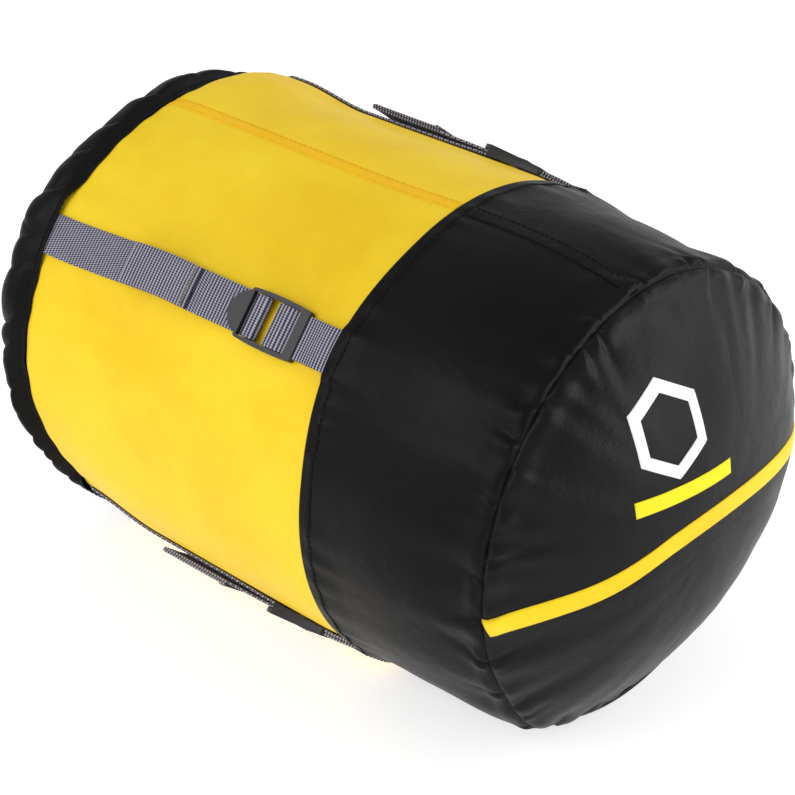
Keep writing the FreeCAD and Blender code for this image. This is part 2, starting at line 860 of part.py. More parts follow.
def frame_corners(shape):
    """The names of a buckle blank's four upright corner edges."""
    ends = (dim.buckle_left.value, dim.buckle_right.value)
    half = dim.buckle_end_half.value
    names = []
    for i, edge in enumerate(shape.Edges):
        box = edge.BoundBox
        upright = box.ZLength > 1 and box.XLength < 0.01 and box.YLength < 0.01
        at_end = min(abs(box.Center.x - x) for x in ends) < 0.01
        if upright and at_end and abs(abs(box.Center.y) - half) < 0.01:
            names.append("Edge%d" % (i + 1))
    if len(names) != 4:
        raise RuntimeError("a buckle blank has %d frame corners" % len(names))
    return names


def buckle(which, place):
    """A ladderlock: bowed rails, tab, middle bar, fixed bar and end bar, moulded in one."""
    name = "buckle_body_%d" % which
    body = new_body(name, place - 90.0)
    inside = dim.buckle_inside_half

    plan = new_sketch(body, name + "_plan", "XY_Plane", dim.buckle_bottom)
    ends, bow = dim.buckle_end_half, dim.buckle_bow_half
    corner = dim.cloth * 2
    middle = (dim.buckle_left + dim.buckle_right) / 2
    half_length = (dim.buckle_right - dim.buckle_left) / 2
    rise = bow - ends
    bend_value = (half_length.value ** 2 + rise.value ** 2) / (2 * rise.value)
    names = (half_length.text, half_length.text, rise.text, rise.text, rise.text)
    bend = Size(bend_value, "((%s * %s + %s * %s) / (2 * %s))" % names)
    tab_half = inside - dim.body_gap
    tab_length = dim.buckle_left - dim.tab_tip_x
    tab_value = (tab_half.value ** 2 + tab_length.value ** 2) / (2 * tab_length.value)
    names = (tab_half.text, tab_half.text, tab_length.text, tab_length.text, tab_length.text)
    tab_bend = Size(tab_value, "((%s * %s + %s * %s) / (2 * %s))" % names)
    outline = [
        (dim.buckle_left, -ends),
        (middle, -bow),
        (dim.buckle_right, -ends),
        (dim.buckle_right, ends),
        (middle, bow),
        (dim.buckle_left, ends),
        (dim.buckle_left, tab_half),
        (dim.tab_tip_x, ZERO),
        (dim.buckle_left, -tab_half),
    ]
    arcs = {0: (bend, 1), 1: (bend, 1), 3: (bend, 1), 4: (bend, 1)}
    arcs.update({6: (tab_bend, 1), 7: (tab_bend, 1)})
    draw(plan, outline, arcs)
    windows = [
        (dim.tab_root_x, dim.middle_bar_left),
        (dim.middle_bar_right, dim.fixed_bar_left),
        (dim.fixed_bar_right, dim.end_bar_x),
    ]
    for left, right in windows:
        draw(plan, [(left, -inside), (right, -inside), (right, inside), (left, inside)])
    pad = body.newObject("PartDesign::Pad", name + "_pad")
    pad.Profile = plan
    bind(pad, Length=dim.tab_top - dim.buckle_bottom)
    doc.recompute()
    fillet = body.newObject("PartDesign::Fillet", name + "_corners")
    fillet.Base = (pad, frame_corners(pad.Shape))
    bind(fillet, Radius=dim.buckle_corner)

    def trim(suffix, outlines, width):
        side = new_sketch(body, name + "_" + suffix, "XZ_Plane")
        for points in outlines:
            draw(side, points)
        doc.recompute()
        before = body.Shape.Volume
        pocket = body.newObject("PartDesign::Pocket", name + "_" + suffix + "_cut")
        pocket.Profile = side
        pocket.Midplane = True
        bind(pocket, Length=width)
        doc.recompute()
        if body.Shape.Volume >= before:
            raise RuntimeError("%s cuts nothing" % pocket.Name)

    sky = dim.tab_top + corner
    top = [
        (dim.tab_tip_x - corner, dim.tab_top),
        (dim.tab_tip_x, dim.tab_top),
        (dim.buckle_right, dim.end_bar_top),
        (dim.buckle_right + corner, dim.end_bar_top),
        (dim.buckle_right + corner, sky),
        (dim.tab_tip_x - corner, sky),
    ]
    trim("top", [top], dim.buckle_bow_half * 3)

    ground = dim.buckle_bottom - corner
    edge = dim.body_gap
    middle_x = (dim.tab_root_x + dim.middle_bar_left) / 2
    gap_x = (dim.middle_bar_right + dim.fixed_bar_left) / 2
    last_x = (dim.fixed_bar_right + dim.end_bar_x) / 2
    under = [
        (dim.tab_tip_x - corner, ground),
        (dim.tab_tip_x - corner, dim.tab_under_tip),
        (dim.tab_tip_x, dim.tab_under_tip),
        (middle_x, dim.tab_under_root),
        (middle_x, dim.middle_bar_under),
        (gap_x, dim.middle_bar_under),
        (gap_x, dim.fixed_bar_under),
        (last_x, dim.fixed_bar_under),
        (last_x, dim.end_bar_under),
        (dim.buckle_right + corner, dim.end_bar_under),
        (dim.buckle_right + corner, ground),
    ]
    over_middle = [
        (middle_x, dim.middle_bar_top),
        (gap_x - edge, dim.middle_bar_top),
        (gap_x - edge, sky),
        (middle_x, sky),
    ]
    over_fixed = [
        (gap_x + edge, dim.fixed_bar_top),
        (last_x, dim.fixed_bar_top),
        (last_x, sky),
        (gap_x + edge, sky),
    ]
    trim("bars", [under, over_middle, over_fixed], inside * 2)
    sub_part(body, "buckle_%d" % which)


def strap(which):
    place = dim.strap_place.value + 360.0 / STRAPS * (which - 1)
    for piece in (strap_run, strap_wrap, strap_neck, strap_end, fixed_webbing, fixed_loop, buckle):
        piece(which, place)


# ---------------------------------------------------------------- the whole sack

for build in (
    lower_wall, base_panel, base_stripe, base_print, seam_hem, base_binding, lower_side_seam,
    upper_wall, upper_side_seam, mouth_shoulder, cord_tunnel, tunnel_eyelet, drawcord,
    cord_lock, cord_lock_spring, lid_skirt, lid_hem, lid_panel, lid_binding,
):
    build()
for strap_number in range(1, STRAPS + 1):
    strap(strap_number)

doc.recompute()

for thing in doc.Objects:
    if "Invalid" in thing.State or "Error" in thing.State:
        raise RuntimeError("%s failed: %s" % (thing.Label, thing.State))
for part in parts:
    if part.Shape.isNull() or not part.Shape.isValid():
        raise RuntimeError("%s has no valid shape" % part.Label)

os.makedirs("parts", exist_ok=True)
for part in parts:
    part.Shape.exportStep("parts/%s.step" % part.Label)
    print(part.Label, round(part.Shape.Volume), len(part.Shape.Solids))
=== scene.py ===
import math

import bmesh
import bpy
import numpy as np
from mathutils import Matrix, Vector


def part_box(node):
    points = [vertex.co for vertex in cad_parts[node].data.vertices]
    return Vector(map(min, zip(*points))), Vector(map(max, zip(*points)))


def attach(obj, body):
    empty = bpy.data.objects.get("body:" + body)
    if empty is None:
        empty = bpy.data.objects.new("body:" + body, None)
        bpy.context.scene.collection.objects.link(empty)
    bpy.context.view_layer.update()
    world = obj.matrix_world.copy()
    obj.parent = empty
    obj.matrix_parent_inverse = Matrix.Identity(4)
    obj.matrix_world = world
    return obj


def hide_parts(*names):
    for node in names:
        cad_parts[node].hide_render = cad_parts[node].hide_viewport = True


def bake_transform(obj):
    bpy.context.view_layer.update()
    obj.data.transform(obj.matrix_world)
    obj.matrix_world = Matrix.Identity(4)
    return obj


# A compression sack lying on its side. Lengths are metres, in the CAD model's own frame: X runs
# along the sack towards its domed base, and z = 0 is the floor.

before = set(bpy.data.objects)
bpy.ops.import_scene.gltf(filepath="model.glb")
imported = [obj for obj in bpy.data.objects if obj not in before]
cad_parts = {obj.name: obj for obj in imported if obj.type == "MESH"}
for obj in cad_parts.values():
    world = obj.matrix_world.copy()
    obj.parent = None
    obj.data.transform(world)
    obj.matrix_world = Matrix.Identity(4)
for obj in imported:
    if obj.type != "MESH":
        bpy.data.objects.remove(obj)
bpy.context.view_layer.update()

MM = 0.001
TURN = 2 * math.pi


# ---------------------------------------------------------------- sizes read from the frame

def half_width(node):
    low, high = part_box(node)
    return (high.y - low.y) / 2


panel_low, panel_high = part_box("base_panel")
AXIS_Z = (panel_low.z + panel_high.z) / 2
BASE_X, APEX_X = panel_low.x, panel_high.x
BASE_R = half_width("base_panel")
SEAM_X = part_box("seam_hem")[0].x
HEM_END_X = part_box("seam_hem")[1].x
SEAM_R = half_width("lower_wall")
SHOULDER_X = SEAM_X + 35.2 * MM
LID_EDGE_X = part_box("lid_skirt")[1].x
LID_RIM_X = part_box("lid_skirt")[0].x
LID_R = half_width("lid_skirt")
LID_TOP_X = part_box("lid_panel")[0].x
LID_PANEL_R = half_width("lid_panel")
WALL_END_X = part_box("upper_wall")[0].x
WALL_TURN_X = WALL_END_X + 9 * MM
RIM_R = half_width("mouth_shoulder") + 1.3 * MM
WALL_END_R = RIM_R + 5.8 * MM
WAIST_R = SEAM_R - 2.1 * MM
DOME_RISE = APEX_X - BASE_X
DOME_R = (BASE_R ** 2 + DOME_RISE ** 2) / (2 * DOME_RISE)
STRAPS = (1, 2, 3, 4)


def place_of(strap):
    """The strap's angle round the sack's axis, from +Y towards +Z."""
    low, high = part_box("strap_end_%d" % strap)
    return math.atan2((low.z + high.z) / 2 - AXIS_Z, (low.y + high.y) / 2)


PLACES = {strap: place_of(strap) for strap in STRAPS}


def side_box(node, place):
    """The lowest and highest (x, across, r) of a CAD node, r along the strap's own radius."""
    out = Vector((0, math.cos(place), math.sin(place)))
    across = Vector((0, -math.sin(place), math.cos(place)))
    axis = Vector((0, 0, AXIS_Z))
    points = [v.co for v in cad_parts[node].data.vertices]
    seen = [(p.x, (p - axis).dot(across), (p - axis).dot(out)) for p in points]
    low = Vector([min(values) for values in zip(*seen)])
    high = Vector([max(values) for values in zip(*seen)])
    return low, high


run_low, run_high = side_box("strap_run_1", PLACES[1])
neck_low, neck_high = side_box("strap_neck_1", PLACES[1])
end_low, end_high = side_box("strap_end_1", PLACES[1])
fixed_low, fixed_high = side_box("fixed_webbing_1", PLACES[1])
buckle_low = side_box("buckle_1", PLACES[1])[0]
WEB_T = (end_high.z - end_low.z) / 2
WEB_HALF = (end_high.y - end_low.y) / 2


# ---------------------------------------------------------------- noise and mesh helpers

def lattice_values(ix, iy, iz, seed):
    h = (ix * 374761393 + iy * 668265263 + iz * 1274126177 + seed * 97531) & 0xFFFFFFFF
    h = ((h ^ (h >> 13)) * 1274126177) & 0xFFFFFFFF
    h = h ^ (h >> 16)
    return (h & 0xFFFF) / 32767.5 - 1.0


def noise(points, scale, seed=0):
    """Smooth value noise from -1 to 1 at an array of points."""
    p = points / scale
    cell = np.floor(p).astype(np.int64)
    f = p - cell
    f = f * f * f * (f * (f * 6 - 15) + 10)
    total = np.zeros(points.shape[:-1])
    for dx in (0, 1):
        for dy in (0, 1):
            for dz in (0, 1):
                values = lattice_values(cell[..., 0] + dx, cell[..., 1] + dy, cell[..., 2] + dz, seed)
                weight = np.abs(1 - dx - f[..., 0]) * np.abs(1 - dy - f[..., 1])
                total += values * weight * np.abs(1 - dz - f[..., 2])
    return total


def ridges(points, scale, seed=0):
    """Noise with sharp valleys and round tops, from -1 to 1."""
    return 2 * np.abs(noise(points, scale, seed)) ** 0.6 - 1


def smooth(value, low, high):
    """Rises from 0 at low to 1 at high, with a soft start and end."""
    t = np.clip((value - low) / (high - low), 0, 1)
    return t * t * (3 - 2 * t)


def turned(theta, middle):
    """The angle from middle to theta the short way round, from -pi to pi."""
    return (theta - middle + math.pi) % TURN - math.pi


def around(columns, values):
    """Two grids: angles evenly round the sack, and a value for each row."""
    return np.meshgrid(np.linspace(0, TURN, columns, endpoint=False), values)


def curve(centre, radius, start, end, steps=12):
    """Points on an arc in a plane, angles in degrees."""
    angles = np.radians(np.linspace(start, end, steps))
    return [(centre[0] + radius * math.cos(a), centre[1] + radius * math.sin(a)) for a in angles]


def on_ring(theta, radius):
    """Places round a ring, to look noise up at."""
    return np.stack([np.cos(theta), np.sin(theta), 0 * theta], axis=-1) * radius


def outward(theta):
    """The directions straight out from the sack's axis."""
    return np.stack([0 * theta, np.cos(theta), np.sin(theta)], axis=-1)


def make_mesh(name, vertices, faces, material, shade_smooth=True):
    mesh = bpy.data.meshes.new(name)
    mesh.from_pydata([tuple(v) for v in vertices], [], faces)
    mesh.validate()
    mesh.update()
    if shade_smooth:
        mesh.polygons.foreach_set("use_smooth", [True] * len(mesh.polygons))
    obj = bpy.data.objects.new(name, mesh)
    bpy.context.scene.collection.objects.link(obj)
    mesh.materials.append(material)
    return obj


def grid_faces(rows, columns, wrap_rows=False, wrap_columns=False):
    faces = []
    for i in range(rows if wrap_rows else rows - 1):
        a, b = i * columns, (i + 1) % rows * columns
        for j in range(columns if wrap_columns else columns - 1):
            k = (j + 1) % columns
            faces.append((a + j, a + k, b + k, b + j))
    return faces


def grid_mesh(name, points, material, wrap_rows=False, wrap_columns=True):
    """A mesh from a grid of points, each row closed into a ring unless told otherwise."""
    rows, columns = points.shape[:2]
    faces = grid_faces(rows, columns, wrap_rows, wrap_columns)
    return make_mesh(name, points.reshape(-1, 3), faces, material)


def thicken(obj, thickness, offset=-1.0):
    """Gives a sheet its cloth's thickness, inwards unless offset says otherwise."""
    solid = obj.modifiers.new("cloth", "SOLIDIFY")
    solid.thickness = thickness
    solid.offset = offset
    apply_modifiers(obj)


def apply_modifiers(obj):
    graph = bpy.context.evaluated_depsgraph_get()
    mesh = bpy.data.meshes.new_from_object(obj.evaluated_get(graph))
    old = obj.data
    obj.modifiers.clear()
    obj.data = mesh
    bpy.data.meshes.remove(old)


# Where the filled sack bulges or sags. In degrees: the angle it is about, and how far it reaches to
# each side. In millimetres: the x where it starts, the x where it is fullest, and how far it moves the
# cloth out and along there.
SETTLING = [
    (12, 58, 60, 125, 3.4, 2.4),
    (278, 52, 55, 125, -4.2, -2.6),
    (141, 32, 16, 32, 0, -3.6),
    (141, 32, 45, 85, 0, 3.6),
    (231, 22, 85, 125, 3.6, 0),
    (214, 46, -100, -155, -4.6, 0),
    (60, 42, -95, -140, 4.4, 0),
    (58, 44, -147, -164, -9.5, -1.5),
    (98, 34, -130, -165, -2.2, 0),
    (146, 36, -150, -168, 2.6, -3.2),
]
# The black wall is a little hollow beyond strap 1, between these stretches of x.
HOLLOW_DEPTH, HOLLOW_REACH = 4.2 * MM, math.radians(40)
HOLLOW_STARTS, HOLLOW_ENDS = (45 * MM, 78 * MM), (104 * MM, 126 * MM)


def settled(points):
    """The places of points once the filled sack has settled: nothing moves near the buckles."""
    x, y, z = points[..., 0], points[..., 1], points[..., 2] - AXIS_Z
    r = np.hypot(y, z)
    theta = np.arctan2(z, y)
    out, along = 0 * r, 0 * r
    for middle, reach, start, full, swell, shift in SETTLING:
        gap = np.abs(turned(theta, math.radians(middle)))
        share = (1 - smooth(gap, 0, math.radians(reach))) * smooth(x, start * MM, full * MM)
        share = share * smooth(r, 0.35 * BASE_R, 0.95 * BASE_R)
        out, along = out + swell * MM * share, along + shift * MM * share
    hollow = 1 - smooth(np.abs(turned(theta, PLACES[1])), 0, HOLLOW_REACH)
    hollow = hollow * smooth(x, *HOLLOW_STARTS) * (1 - smooth(x, *HOLLOW_ENDS))
    grown = 1 + (out - HOLLOW_DEPTH * hollow) / np.maximum(r, MM)
    return np.stack([x + along, y * grown, AXIS_Z + z * grown], axis=-1)


def round_points(x, r, theta):
    """Points from arrays of x, r and angle about the sack's axis, on the settled sack."""
    return settled(np.stack([x, r * np.cos(theta), AXIS_Z + r * np.sin(theta)], axis=-1))


FLOOR_EDGE = 1.2 * MM


def flatten_under(points):
    """Presses what would be under the floor up to it, with a soft edge."""
    height = points[..., 2]
    points[..., 2] = 0.5 * (height + np.sqrt(height ** 2 + FLOOR_EDGE ** 2))
    return points


# ---------------------------------------------------------------- materials

def new_material(name, roughness, specular=0.5):
    material = bpy.data.materials.new(name)
    material.use_nodes = True
    shader = material.node_tree.nodes["Principled BSDF"]
    shader.inputs["Roughness"].default_value = roughness
    shader.inputs["Specular IOR Level"].default_value = specular
    return material, material.node_tree, shader


def add_node(tree, kind, **settings):
    node = tree.nodes.new(kind)
    for name, value in settings.items():
        if name in node.inputs:
            node.inputs[name].default_value = value
        else:
            setattr(node, name, value)
    return node


def object_space(tree):
    return add_node(tree, "ShaderNodeTexCoord").outputs["Object"]


def split(tree, vector):
    parts = add_node(tree, "ShaderNodeSeparateXYZ")
    tree.links.new(vector, parts.inputs["Vector"])
    return parts.outputs["X"], parts.outputs["Y"], parts.outputs["Z"]


def noise_node(tree, vector, scale, detail=3.0, roughness=0.5):
    node = add_node(tree, "ShaderNodeTexNoise", Scale=scale, Detail=detail, Roughness=roughness)
    tree.links.new(vector, node.inputs["Vector"])
    return node.outputs["Fac"]


def math_node(tree, operation, *values):
    node = add_node(tree, "ShaderNodeMath", operation=operation)
    for socket, value in zip(node.inputs, values):
        if isinstance(value, (int, float)):
            socket.default_value = value
        else:
            tree.links.new(value, socket)
    return node.outputs["Value"]


def wave(tree, coordinate, pitch):
    """A sine from 0 to 1 along a coordinate."""
    angle = math_node(tree, "MULTIPLY", coordinate, TURN / pitch)
    return math_node(tree, "MULTIPLY_ADD", math_node(tree, "SINE", angle), 0.5, 0.5)


def bump(tree, shader, height, distance, strength, below=None):
    node = add_node(tree, "ShaderNodeBump", Strength=strength, Distance=distance)
    tree.links.new(height, node.inputs["Height"])
    if below is not None:
        tree.links.new(below, node.inputs["Normal"])
    tree.links.new(node.outputs["Normal"], shader.inputs["Normal"])
    return node.outputs["Normal"]


def paint(tree, shader, factor, stops):
    """The base colour, from a factor and its (position, colour) stops."""
    node = tree.nodes.new("ShaderNodeValToRGB")
    elements = node.color_ramp.elements
    while len(elements) < len(stops):
        elements.new(0.5)
    for element, (position, colour) in zip(elements, stops):
        element.position = position
        element.color = (*colour, 1.0)
    tree.links.new(factor, node.inputs["Fac"])
    tree.links.new(node.outputs["Color"], shader.inputs["Base Color"])


def vary_roughness(tree, shader, vector, scale, middle, span):
    patch = noise_node(tree, vector, scale)
    value = math_node(tree, "MULTIPLY_ADD", patch, span, middle - span / 2)
    tree.links.new(value, shader.inputs["Roughness"])


WEAVE_PITCH = 0.8 * MM


def cloth_material(name, dark, light, roughness, specular):
    """Coated plain-weave nylon: mottled colour, small creases and a very fine weave."""
    material, tree, shader = new_material(name, roughness, specular)
    vector = object_space(tree)
    mottle = noise_node(tree, vector, 13.0, 5.0, 0.6)
    paint(tree, shader, mottle, [(0.32, dark), (0.68, light)])
    creases = noise_node(tree, vector, 45.0, 5.0, 0.62)
    folds = bump(tree, shader, creases, 1.5 * MM, 0.5)
    x, y, z = split(tree, vector)
    angle = math_node(tree, "ARCTAN2", math_node(tree, "SUBTRACT", z, AXIS_Z), y)
    arc = math_node(tree, "MULTIPLY", angle, SEAM_R)
    weave = math_node(tree, "ADD", wave(tree, arc, WEAVE_PITCH), wave(tree, x, WEAVE_PITCH))
    bump(tree, shader, weave, 0.03 * MM, 0.5, folds)
    vary_roughness(tree, shader, vector, 60.0, roughness, 0.14)
    return material


RIB_PITCH = 1.78 * MM
DASH_PITCH = 1.12 * MM


def webbing_material(name, lean, dash_share):
    """Woven webbing: pale dashes in dark furrows, along the weave map's own directions."""
    material, tree, shader = new_material(name, 0.72, 0.25)
    weave_map = add_node(tree, "ShaderNodeUVMap", uv_map="weave").outputs["UV"]
    along, across, _ = split(tree, weave_map)
    rib = wave(tree, along, RIB_PITCH)
    leaning = math_node(tree, "MULTIPLY_ADD", along, lean * DASH_PITCH / RIB_PITCH, across)
    dashes = wave(tree, leaning, DASH_PITCH)
    height = math_node(tree, "MULTIPLY", dashes, dash_share)
    height = math_node(tree, "MULTIPLY_ADD", rib, 1 - dash_share, height)
    vector = object_space(tree)
    height = math_node(tree, "MULTIPLY_ADD", noise_node(tree, vector, 1400.0, 2.0), 0.22, height)
    height = math_node(tree, "MULTIPLY_ADD", noise_node(tree, vector, 90.0), 0.12, height)
    stops = [
        (0.42, (0.022, 0.021, 0.045)),
        (0.68, (0.155, 0.15, 0.20)),
        (0.98, (0.44, 0.425, 0.50)),
    ]
    paint(tree, shader, height, stops)
    bump(tree, shader, height, 0.4 * MM, 0.7)
    return material


def plastic_material(name, dark, light, roughness):
    """Moulded plastic with a fine satin grain."""
    material, tree, shader = new_material(name, roughness, 0.45)
    vector = object_space(tree)
    paint(tree, shader, noise_node(tree, vector, 120.0), [(0.3, dark), (0.7, light)])
    grain = noise_node(tree, vector, 2600.0, 2.0)
    bump(tree, shader, grain, 0.05 * MM, 0.35)
    vary_roughness(tree, shader, vector, 150.0, roughness, 0.12)
    return material


def buckle_material(strap):
    """Dark plastic with a painted highlight: the faces turned away from the sack are painted paler
    than its sides, for the studio light they catch.
    """
    place = PLACES[strap]
    name = "buckle_plastic_%d" % strap
    material, tree, shader = new_material(name, 0.42, 0.4)
    coordinates = add_node(tree, "ShaderNodeTexCoord")
    _, y, z = split(tree, coordinates.outputs["Normal"])
    out = math_node(tree, "MULTIPLY", y, math.cos(place))
    out = math_node(tree, "MULTIPLY_ADD", z, math.sin(place), out)
    vector = coordinates.outputs["Object"]
    out = math_node(tree, "MULTIPLY_ADD", noise_node(tree, vector, 150.0), 0.16, out)
    # Painted highlight: the colour runs from the sides' dark to a paler tone on the faces turned out
    # from the sack.
    stops = [(0.55, (0.012, 0.012, 0.013)), (0.98, (0.029, 0.027, 0.031))]
    paint(tree, shader, out, stops)
    bump(tree, shader, noise_node(tree, vector, 2600.0, 2.0), 0.05 * MM, 0.35)
    vary_roughness(tree, shader, vector, 150.0, 0.42, 0.12)
    return material


def metal_material(name, colour, roughness):
    material, tree, shader = new_material(name, roughness)
    shader.inputs["Metallic"].default_value = 1.0
    vector = object_space(tree)
    dark = tuple(0.7 * part for part in colour)
    paint(tree, shader, noise_node(tree, vector, 300.0), [(0.3, dark), (0.7, colour)])
    vary_roughness(tree, shader, vector, 200.0, roughness, 0.2)
    return material


def thread_material(name, dark, light):
    material, tree, shader = new_material(name, 0.7, 0.2)
    vector = object_space(tree)
    twist = noise_node(tree, vector, 1500.0, 2.0)
    paint(tree, shader, twist, [(0.35, dark), (0.65, light)])
    bump(tree, shader, twist, 0.1 * MM, 0.6)
    return material


YELLOW = cloth_material("yellow_nylon", (0.83, 0.53, 0.005), (0.93, 0.66, 0.02), 0.52, 0.2)
YELLOW_DOUBLE = cloth_material("yellow_double", (0.88, 0.49, 0.002), (0.92, 0.55, 0.005), 0.52, 0.2)
BLACK = cloth_material("black_nylon", (0.0018, 0.0018, 0.0023), (0.0038, 0.0038, 0.0046), 0.42, 0.11)
# Painted sheen: the walls' black nylon again, with a paler colour and a stronger specular, so the
# domed base shows the bright reflection of the studio light.
BLACK_PAINTED_SHEEN = cloth_material("black_nylon_painted_sheen", (0.0026, 0.0026, 0.0031), (0.005, 0.005, 0.006), 0.4, 0.14)
RIBBED = webbing_material("webbing_ribbed", 0.0, 0.32)
TWILL = webbing_material("webbing_twill", 0.5, 0.5)
BUCKLES = {strap: buckle_material(strap) for strap in STRAPS}
LOCK = plastic_material("lock_plastic", (0.014, 0.014, 0.015), (0.022, 0.022, 0.024), 0.4)
EYELET = metal_material("eyelet_metal", (0.32, 0.32, 0.33), 0.35)
STEEL = metal_material("spring_steel", (0.60, 0.60, 0.58), 0.3)
BLACK_THREAD = thread_material("black_thread", (0.003, 0.003, 0.0035), (0.008, 0.008, 0.009))
YELLOW_THREAD = thread_material("yellow_thread", (0.70, 0.44, 0.01), (0.9, 0.62, 0.03))
GREY_THREAD = thread_material("grey_thread", (0.17, 0.18, 0.16), (0.42, 0.43, 0.38))
CORD = thread_material("braided_cord", (0.012, 0.012, 0.014), (0.05, 0.05, 0.055))
WHITE_PRINT = thread_material("white_print", (0.80, 0.80, 0.80), (0.90, 0.90, 0.90))
YELLOW_PRINT = thread_material("yellow_print", (0.80, 0.66, 0.01), (0.88, 0.75, 0.02))


# ---------------------------------------------------------------- the sack's surfaces

def strap_distance(theta):
    """Distance round the sack from the nearest strap's middle."""
    gaps = [np.abs(turned(theta, place)) for place in PLACES.values()]
    return np.min(gaps, axis=0) * SEAM_R


def under_strap(x):
    """How far out the cloth lies where a strap presses on it."""
    stops = [run_low.x, run_high.x, fixed_low.x, SEAM_X]
    levels = [run_low.z, run_high.z - 1.8 * MM, fixed_low.z, fixed_low.z - 1.0 * MM]
    return np.interp(x, stops, levels) - 0.15 * MM


def wall_radius(x):
    """The upper wall's smooth radius: slightly waisted, turned in at the mouth."""
    t = (x - WALL_TURN_X) / (SEAM_X - WALL_TURN_X)
    end = np.where(t > 0.5, SEAM_R, WALL_END_R)
    radius = WAIST_R + (end - WAIST_R) * (2 * t - 1) ** 2
    drop = np.clip((WALL_TURN_X - x) / (WALL_TURN_X - WALL_END_X), 0, 1)
    return radius - (WALL_END_R - RIM_R) * drop ** 1.6


def lower_radius(x):
    """The lower wall's smooth radius: straight, then bending in to the base seam."""
    reach, drop = BASE_X - SHOULDER_X, SEAM_R - BASE_R
    bend = (reach ** 2 + drop ** 2) / (2 * drop)
    t = np.clip(x - SHOULDER_X, 0, reach)
    return SEAM_R - (bend - np.sqrt(bend ** 2 - t ** 2))


def puckers(theta, pitch, seed):
    """A wandering row of folds round the sack, from -1 to 1."""
    ring = on_ring(theta, SEAM_R)
    sway = noise(ring, pitch * 2.2, seed) * 1.4
    strength = 0.6 + 0.4 * noise(ring, pitch * 3.0, seed + 1)
    return np.sin(theta * round(TURN * SEAM_R / pitch) + sway * math.pi) * strength


def upper_surface(x, theta):
    """The yellow wall's outer radius."""
    points = round_points(x, wall_radius(x), theta)
    from_lid = np.clip(x - LID_EDGE_X, 0, 1)
    from_seam = np.clip(SEAM_X - x, 0, 1)
    lump = noise(points, 78 * MM, 1) * 1.4 * MM + noise(points, 34 * MM, 2) * 0.45 * MM
    lid_folds = np.exp(-from_lid / (16 * MM)) * puckers(theta, 17 * MM, 5) * 0.3 * MM
    seam_folds = np.exp(-from_seam / (11 * MM)) * puckers(theta, 14 * MM, 8) * 0.4 * MM
    open_radius = wall_radius(x) + lid_folds + (lump + seam_folds) * smooth(from_seam, 0, 8 * MM)
    free = smooth(strap_distance(theta), 11 * MM, 30 * MM)
    return free * open_radius + (1 - free) * under_strap(x)


PLEATS = 27
WALL_SIDE, DOME_SIDE = 1, 2


def pleats(theta, away, side):
    """Sharp little gathers that run out from the base seam, unevenly spaced, each on a slant."""
    total = 0 * theta
    for k in range(PLEATS):
        place, slant, length, depth = lattice_values(np.arange(4), k, side, 77)
        middle = (k + 0.36 * place) * TURN / PLEATS
        across = turned(theta, middle) * BASE_R - slant * 0.7 * away
        reach = (8 + 4 * length) * MM
        width = 0.95 * MM + 0.17 * away
        valley = np.exp(-(across / width) ** 2)
        shoulder = np.exp(-((across - 2.1 * width) / (1.7 * width)) ** 2)
        total = total + (0.55 * shoulder - valley) * (1.35 + 0.65 * depth) * np.exp(-away / reach)
    return total * MM


def base_crease(theta, away, side):
    """How the cloth on one side of the base seam stands off, at a distance from the seam."""
    groove = -1.9 * MM * np.exp(-(away / (0.85 * MM)) ** 2)
    puff = 0.9 * MM * np.exp(-((away - 3.8 * MM) / (3.4 * MM)) ** 2)
    near = np.exp(-away / (13 * MM)) * smooth(away, 0, 3 * MM) * 1.1 * MM
    far_size = 1.3 if side == WALL_SIDE else 0.8
    far = np.exp(-away / (30 * MM)) * smooth(away, 0, 10 * MM) * far_size * MM
    folds = puckers(theta, 21 * MM, 11 + side) * near + puckers(theta, 43 * MM, 15) * far
    return groove + puff + folds + pleats(theta, away, side) * smooth(away, 0, 1.5 * MM)


def strap_rise(theta):
    """How much a strap's sewn end lifts the cloth over it."""
    return 1.35 * MM * (1 - smooth(strap_distance(theta), 9.6 * MM, 15 * MM))


def lower_surface(x, theta):
    """The black wall's outer radius."""
    points = round_points(x, lower_radius(x), theta)
    from_hem, away = np.clip(x - HEM_END_X, 0, 1), np.clip(BASE_X - x, 0, 1)
    body = smooth(from_hem, -2 * MM, 16 * MM) * smooth(away, 0, 18 * MM)
    lump = noise(points, 66 * MM, 21) * 1.5 * MM + ridges(points, 50 * MM, 22) * 0.15 * MM
    hem_folds = np.exp(-from_hem / (10 * MM)) * puckers(theta, 17 * MM, 25) * 0.45 * MM
    rise = strap_rise(theta) * np.exp(-from_hem / (9 * MM)) + 0.5 * MM * np.exp(-from_hem / (6 * MM))
    return lower_radius(x) + lump * body + hem_folds + rise + base_crease(theta, away, WALL_SIDE)


def dome_surface(y, z):
    """How far the stuffed base stands off its smooth dome, at a place seen along the axis."""
    theta = np.arctan2(z, y)
    away = np.clip(BASE_R - np.hypot(y, z), 0, BASE_R)
    place = np.stack([0 * y, y, z], axis=-1)
    lump = noise(place, 60 * MM, 31) * 1.7 * MM + ridges(place, 52 * MM, 33) * 0.15 * MM
    return lump * smooth(away, 0, 22 * MM) + base_crease(theta, away, DOME_SIDE)


def on_dome(y, z, lift=0.0):
    """The point of the domed base over a place seen along the axis."""
    r = np.hypot(y, z)
    height = np.sqrt(DOME_R ** 2 - r ** 2)
    offset = dome_surface(y, z) + lift
    x = APEX_X - DOME_R + height + offset * height / DOME_R
    spread = 1 + offset / DOME_R
    return settled(np.stack([x, y * spread, AXIS_Z + z * spread], axis=-1))


HEM_HEIGHT = 0.9 * MM


